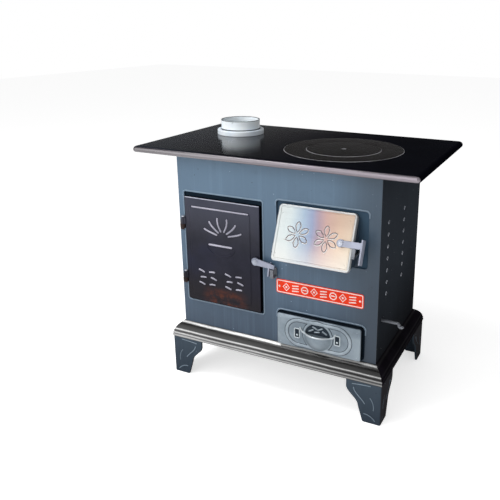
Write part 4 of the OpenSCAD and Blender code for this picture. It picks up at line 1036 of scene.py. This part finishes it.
DX, DZ, DW, DH = 138.0, 165.0, 240.0, 91.0
DFACE, DBACK = -196.0, -177.3
CX, CZ, CR, COUT = DX, 210.5, 42.0, 18.0     # the cup pull: its middle, radius and how far it stands out
SPH = (CR * CR / COUT + COUT) / 2            # radius of the sphere it is a part of
LIP = 4                                      # its lip's height over its middle
drawer = Form()
drawer.pad(DX, DZ + DH / 2, DW, DH, 4, [
    (5, DFACE + 5), (5, DBACK), (0.7, DBACK), (0, DBACK - 0.8), (0, DFACE + 2.2), (0.6, DFACE + 0.9),
    (2.2, DFACE)], 6)
drawer.pad(DX, DZ + DH / 2 - 1, DW - 24, DH - 26, 3, [(0, DFACE + 6), (0, DBACK + 0.01)], 6)


def stadium(a, b, y):
    """A closed outline with round ends about the cup's middle, a and b its half length and half height."""
    half_turn = [-math.pi / 2 + math.pi * i / 16 for i in range(17)]
    return [(CX + side * (a - b + b * math.cos(t)), y, CZ + side * b * math.sin(t))
            for side in (1, -1) for t in half_turn]


# the raised relief and the bright pieces are paler silver, painted highlight; the dark pieces are painted
# shade
relief, bright, dark = Form(), Form(), Form()
relief.tube(stadium(91.5, 36.5, DFACE), 4.6, 10, 0.45, closed=True)
for a, b in ((96.6, 41.6), (86.4, 31.4)):     # painted shade in the crevices either side of the rim
    dark.tube(stadium(a, b, DFACE + 0.1), 0.9, 6, 0.5, closed=True)
rim_r, crevice_r = 40, 44
relief.tube([(CX + rim_r * math.cos(t), DFACE, CZ + rim_r * math.sin(t)) for t in turns(56)],
            3.4, 10, 0.6, closed=True)
# painted shade in the crevice round the ring
dark.tube([(CX + crevice_r * math.cos(t), DFACE + 0.1, CZ + crevice_r * math.sin(t)) for t in turns(56)],
          0.9, 6, 0.5, closed=True)


def ball(dx, dz, wall):
    """How far out the cup's skin stands at a place on the face."""
    r = SPH - wall
    return DFACE - COUT + SPH - math.sqrt(max(r * r - dx * dx - dz * dz, 0))


outer, inner = [], []
for i in range(33):
    dx = -CR + 0.4 + (2 * CR - 0.8) * i / 32
    low_z = -math.sqrt(max(CR * CR - dx * dx, 0))
    for wall, rows in ((0.0, outer), (3.6, inner)):
        row = []
        for j in range(17):
            dz = low_z + (LIP - low_z) * j / 16
            row.append((CX + dx, min(ball(dx, dz, wall), DFACE + 1.5), CZ + dz))
        rows.append(row)
drawer.loops(outer, False, False, closed=False)
drawer.loops(inner, False, False, closed=False)
lip = [(a[-1][0], (a[-1][1] + b[-1][1]) / 2, CZ + LIP) for a, b in zip(outer, inner)]
for side in (0, -1):                          # the lip's two ends run out on the face, curling up
    x = lip[side][0]
    out = -1 if side == 0 else 1
    tail = [(x + out * px, DFACE - py, CZ + pz) for px, py, pz in ((9, 0.6, 17), (6, 0.9, 11), (1.5, 1.2, 6))]
    lip = tail + lip[2:] if side == 0 else lip[:-2] + tail[::-1]
# the cup's lip in the palest silver: painted highlight
bright.tube(lip, 2.6, 10, 1.0)
turn = [math.pi * i / 20 for i in range(21)]
half = [(CX + 35.5 * math.cos(t), DFACE - 0.15, CZ + LIP + 31 * math.sin(t)) for t in turn]
dark.add(half, [tuple(range(len(half)))])     # a sheet of painted shade in the opening over the lip
for x, z, tilt in ((-19, 15, 0.5), (-8, 24, -0.4), (7, 23, 0.5), (20, 15, -0.5), (-2, 13, 0.2)):
    relief.tube([(CX + x - 6 * math.cos(tilt), DFACE - 0.6, CZ + z - 6 * math.sin(tilt)),
                 (CX + x + 6 * math.cos(tilt), DFACE - 0.6, CZ + z + 6 * math.sin(tilt))], 2.4, 8, 0.7)
# square ornaments either side: a frame round a field of painted shade and a stud, frame and stud painted
# highlight
for x0, z0 in ((77.5, 208.5), (193.5, 211)):
    frame_pts = [(x0 + a, DFACE + 0.1, z0 + b) for a, b in rounded(15, 27, 3, 3)]
    dark.add([(x, y - 0.25, z) for x, y, z in frame_pts], [tuple(range(len(frame_pts)))])
    bright.tube(frame_pts, 1.7, 8, 0.8, closed=True)
    bright.dome(x0, DFACE + 0.1, z0 - 5, 3.2, 1.8, 14, 4)
for sx in (-1, 1):
    for sz in (-1, 1):
        relief.dome(DX + sx * 110, DFACE + 0.1, DZ + DH / 2 + sz * 36, 2.0, 0.8, 12, 3)
made("drawer_front_highlights", bright, silver_bright_highlight, "ash_drawer", slot="silver_casting", smooth=60)
made("drawer_front_crevice_shade", dark, crevice_shade, "ash_drawer", slot="silver_casting", smooth=60, weight=False)
made("drawer_front_relief", relief, silver_soft_highlight, "ash_drawer", slot="silver_casting", smooth=60)
made("drawer_front_cast", drawer, silver, "ash_drawer", stands_for=("drawer_front",), slot="silver_casting",
     smooth=40)

# ------ floor, world, lamps

WHITE_FLOOR, DIM_CEILING = 0.62, 0.045       # what the floor adds, and the studio above the horizon


def add(tree, kind, **props):
    n = tree.nodes.new(kind)
    for k, v in props.items():
        setattr(n, k, v)
    return n


def seen(tree):
    """1 for camera, glossy and transmission rays, which see the white background."""
    path = add(tree, "ShaderNodeLightPath")
    a = add(tree, "ShaderNodeMath", operation="MAXIMUM")
    tree.links.new(path.outputs["Is Camera Ray"], a.inputs[0])
    tree.links.new(path.outputs["Is Glossy Ray"], a.inputs[1])
    b = add(tree, "ShaderNodeMath", operation="MAXIMUM")
    tree.links.new(a.outputs[0], b.inputs[0])
    tree.links.new(path.outputs["Is Transmission Ray"], b.inputs[1])
    return b.outputs[0]


def pale_floor():
    """A pale floor that keeps shadows and looks white to the rays that see the background."""
    me = bpy.data.meshes.new("floor")
    me.from_pydata([(-9, -7, 0), (9, -7, 0), (9, 11, 0), (-9, 11, 0)], [], [(0, 1, 2, 3)])
    floor = bpy.data.objects.new("floor", me)
    scene.collection.objects.link(floor)
    m = bpy.data.materials.new("floor")
    m.use_nodes = True
    t = m.node_tree
    t.nodes.clear()
    out = add(t, "ShaderNodeOutputMaterial")
    diffuse = add(t, "ShaderNodeBsdfDiffuse")
    diffuse.inputs[0].default_value = (0.8, 0.8, 0.8, 1)
    lift = add(t, "ShaderNodeMath", operation="MULTIPLY")
    lift.inputs[1].default_value = WHITE_FLOOR
    t.links.new(seen(t), lift.inputs[0])
    glow = add(t, "ShaderNodeEmission")
    t.links.new(lift.outputs[0], glow.inputs["Strength"])
    both = add(t, "ShaderNodeAddShader")
    t.links.new(diffuse.outputs[0], both.inputs[0])
    t.links.new(glow.outputs[0], both.inputs[1])
    t.links.new(both.outputs[0], out.inputs[0])
    me.materials.append(m)


def studio():
    """A world that is white at the horizon and a dim studio ceiling above, with a plain level of light."""
    world = bpy.data.worlds.new("world")
    scene.world = world
    world.use_nodes = True
    t = world.node_tree
    t.nodes.clear()
    out = add(t, "ShaderNodeOutputWorld")
    background = add(t, "ShaderNodeBackground")
    background.inputs["Color"].default_value = (1, 1, 1, 1)
    split = add(t, "ShaderNodeSeparateXYZ")
    t.links.new(add(t, "ShaderNodeTexCoord").outputs["Generated"], split.inputs[0])
    fall = add(t, "ShaderNodeMapRange", interpolation_type="SMOOTHSTEP")
    for k, v in (("From Min", 0.05), ("From Max", 0.11), ("To Min", 1.0), ("To Max", DIM_CEILING)):
        fall.inputs[k].default_value = v
    t.links.new(split.outputs[2], fall.inputs["Value"])
    pick = add(t, "ShaderNodeMix", data_type="FLOAT")
    pick.inputs[2].default_value = 0.42
    t.links.new(seen(t), pick.inputs[0])
    t.links.new(fall.outputs[0], pick.inputs[3])
    t.links.new(pick.outputs[0], background.inputs["Strength"])
    t.links.new(background.outputs[0], out.inputs[0])


def lamp(name, at, to, size, watts, size_y=None):
    data = bpy.data.lights.new(name, "AREA")
    data.energy = watts
    data.shape = "RECTANGLE"
    data.size = size
    data.size_y = size_y or size
    o = bpy.data.objects.new(name, data)
    scene.collection.objects.link(o)
    o.location = at
    o.rotation_mode = "QUATERNION"
    o.rotation_quaternion = (Vector(to) - Vector(at)).to_track_quat("-Z", "Y")


pale_floor()
studio()
lamp("key", (-1.3, -3.1, 1.9), (0, 0, 0.35), 3.4, 70, 2.8)
lamp("top", (-1.1, -0.95, 2.8), (0, 0, 0.4), 1.2, 34, 0.8)
lamp("fill", (2.8, -1.4, 1.6), (0, 0, 0.3), 2.0, 5)

scene.view_settings.view_transform = "Standard"
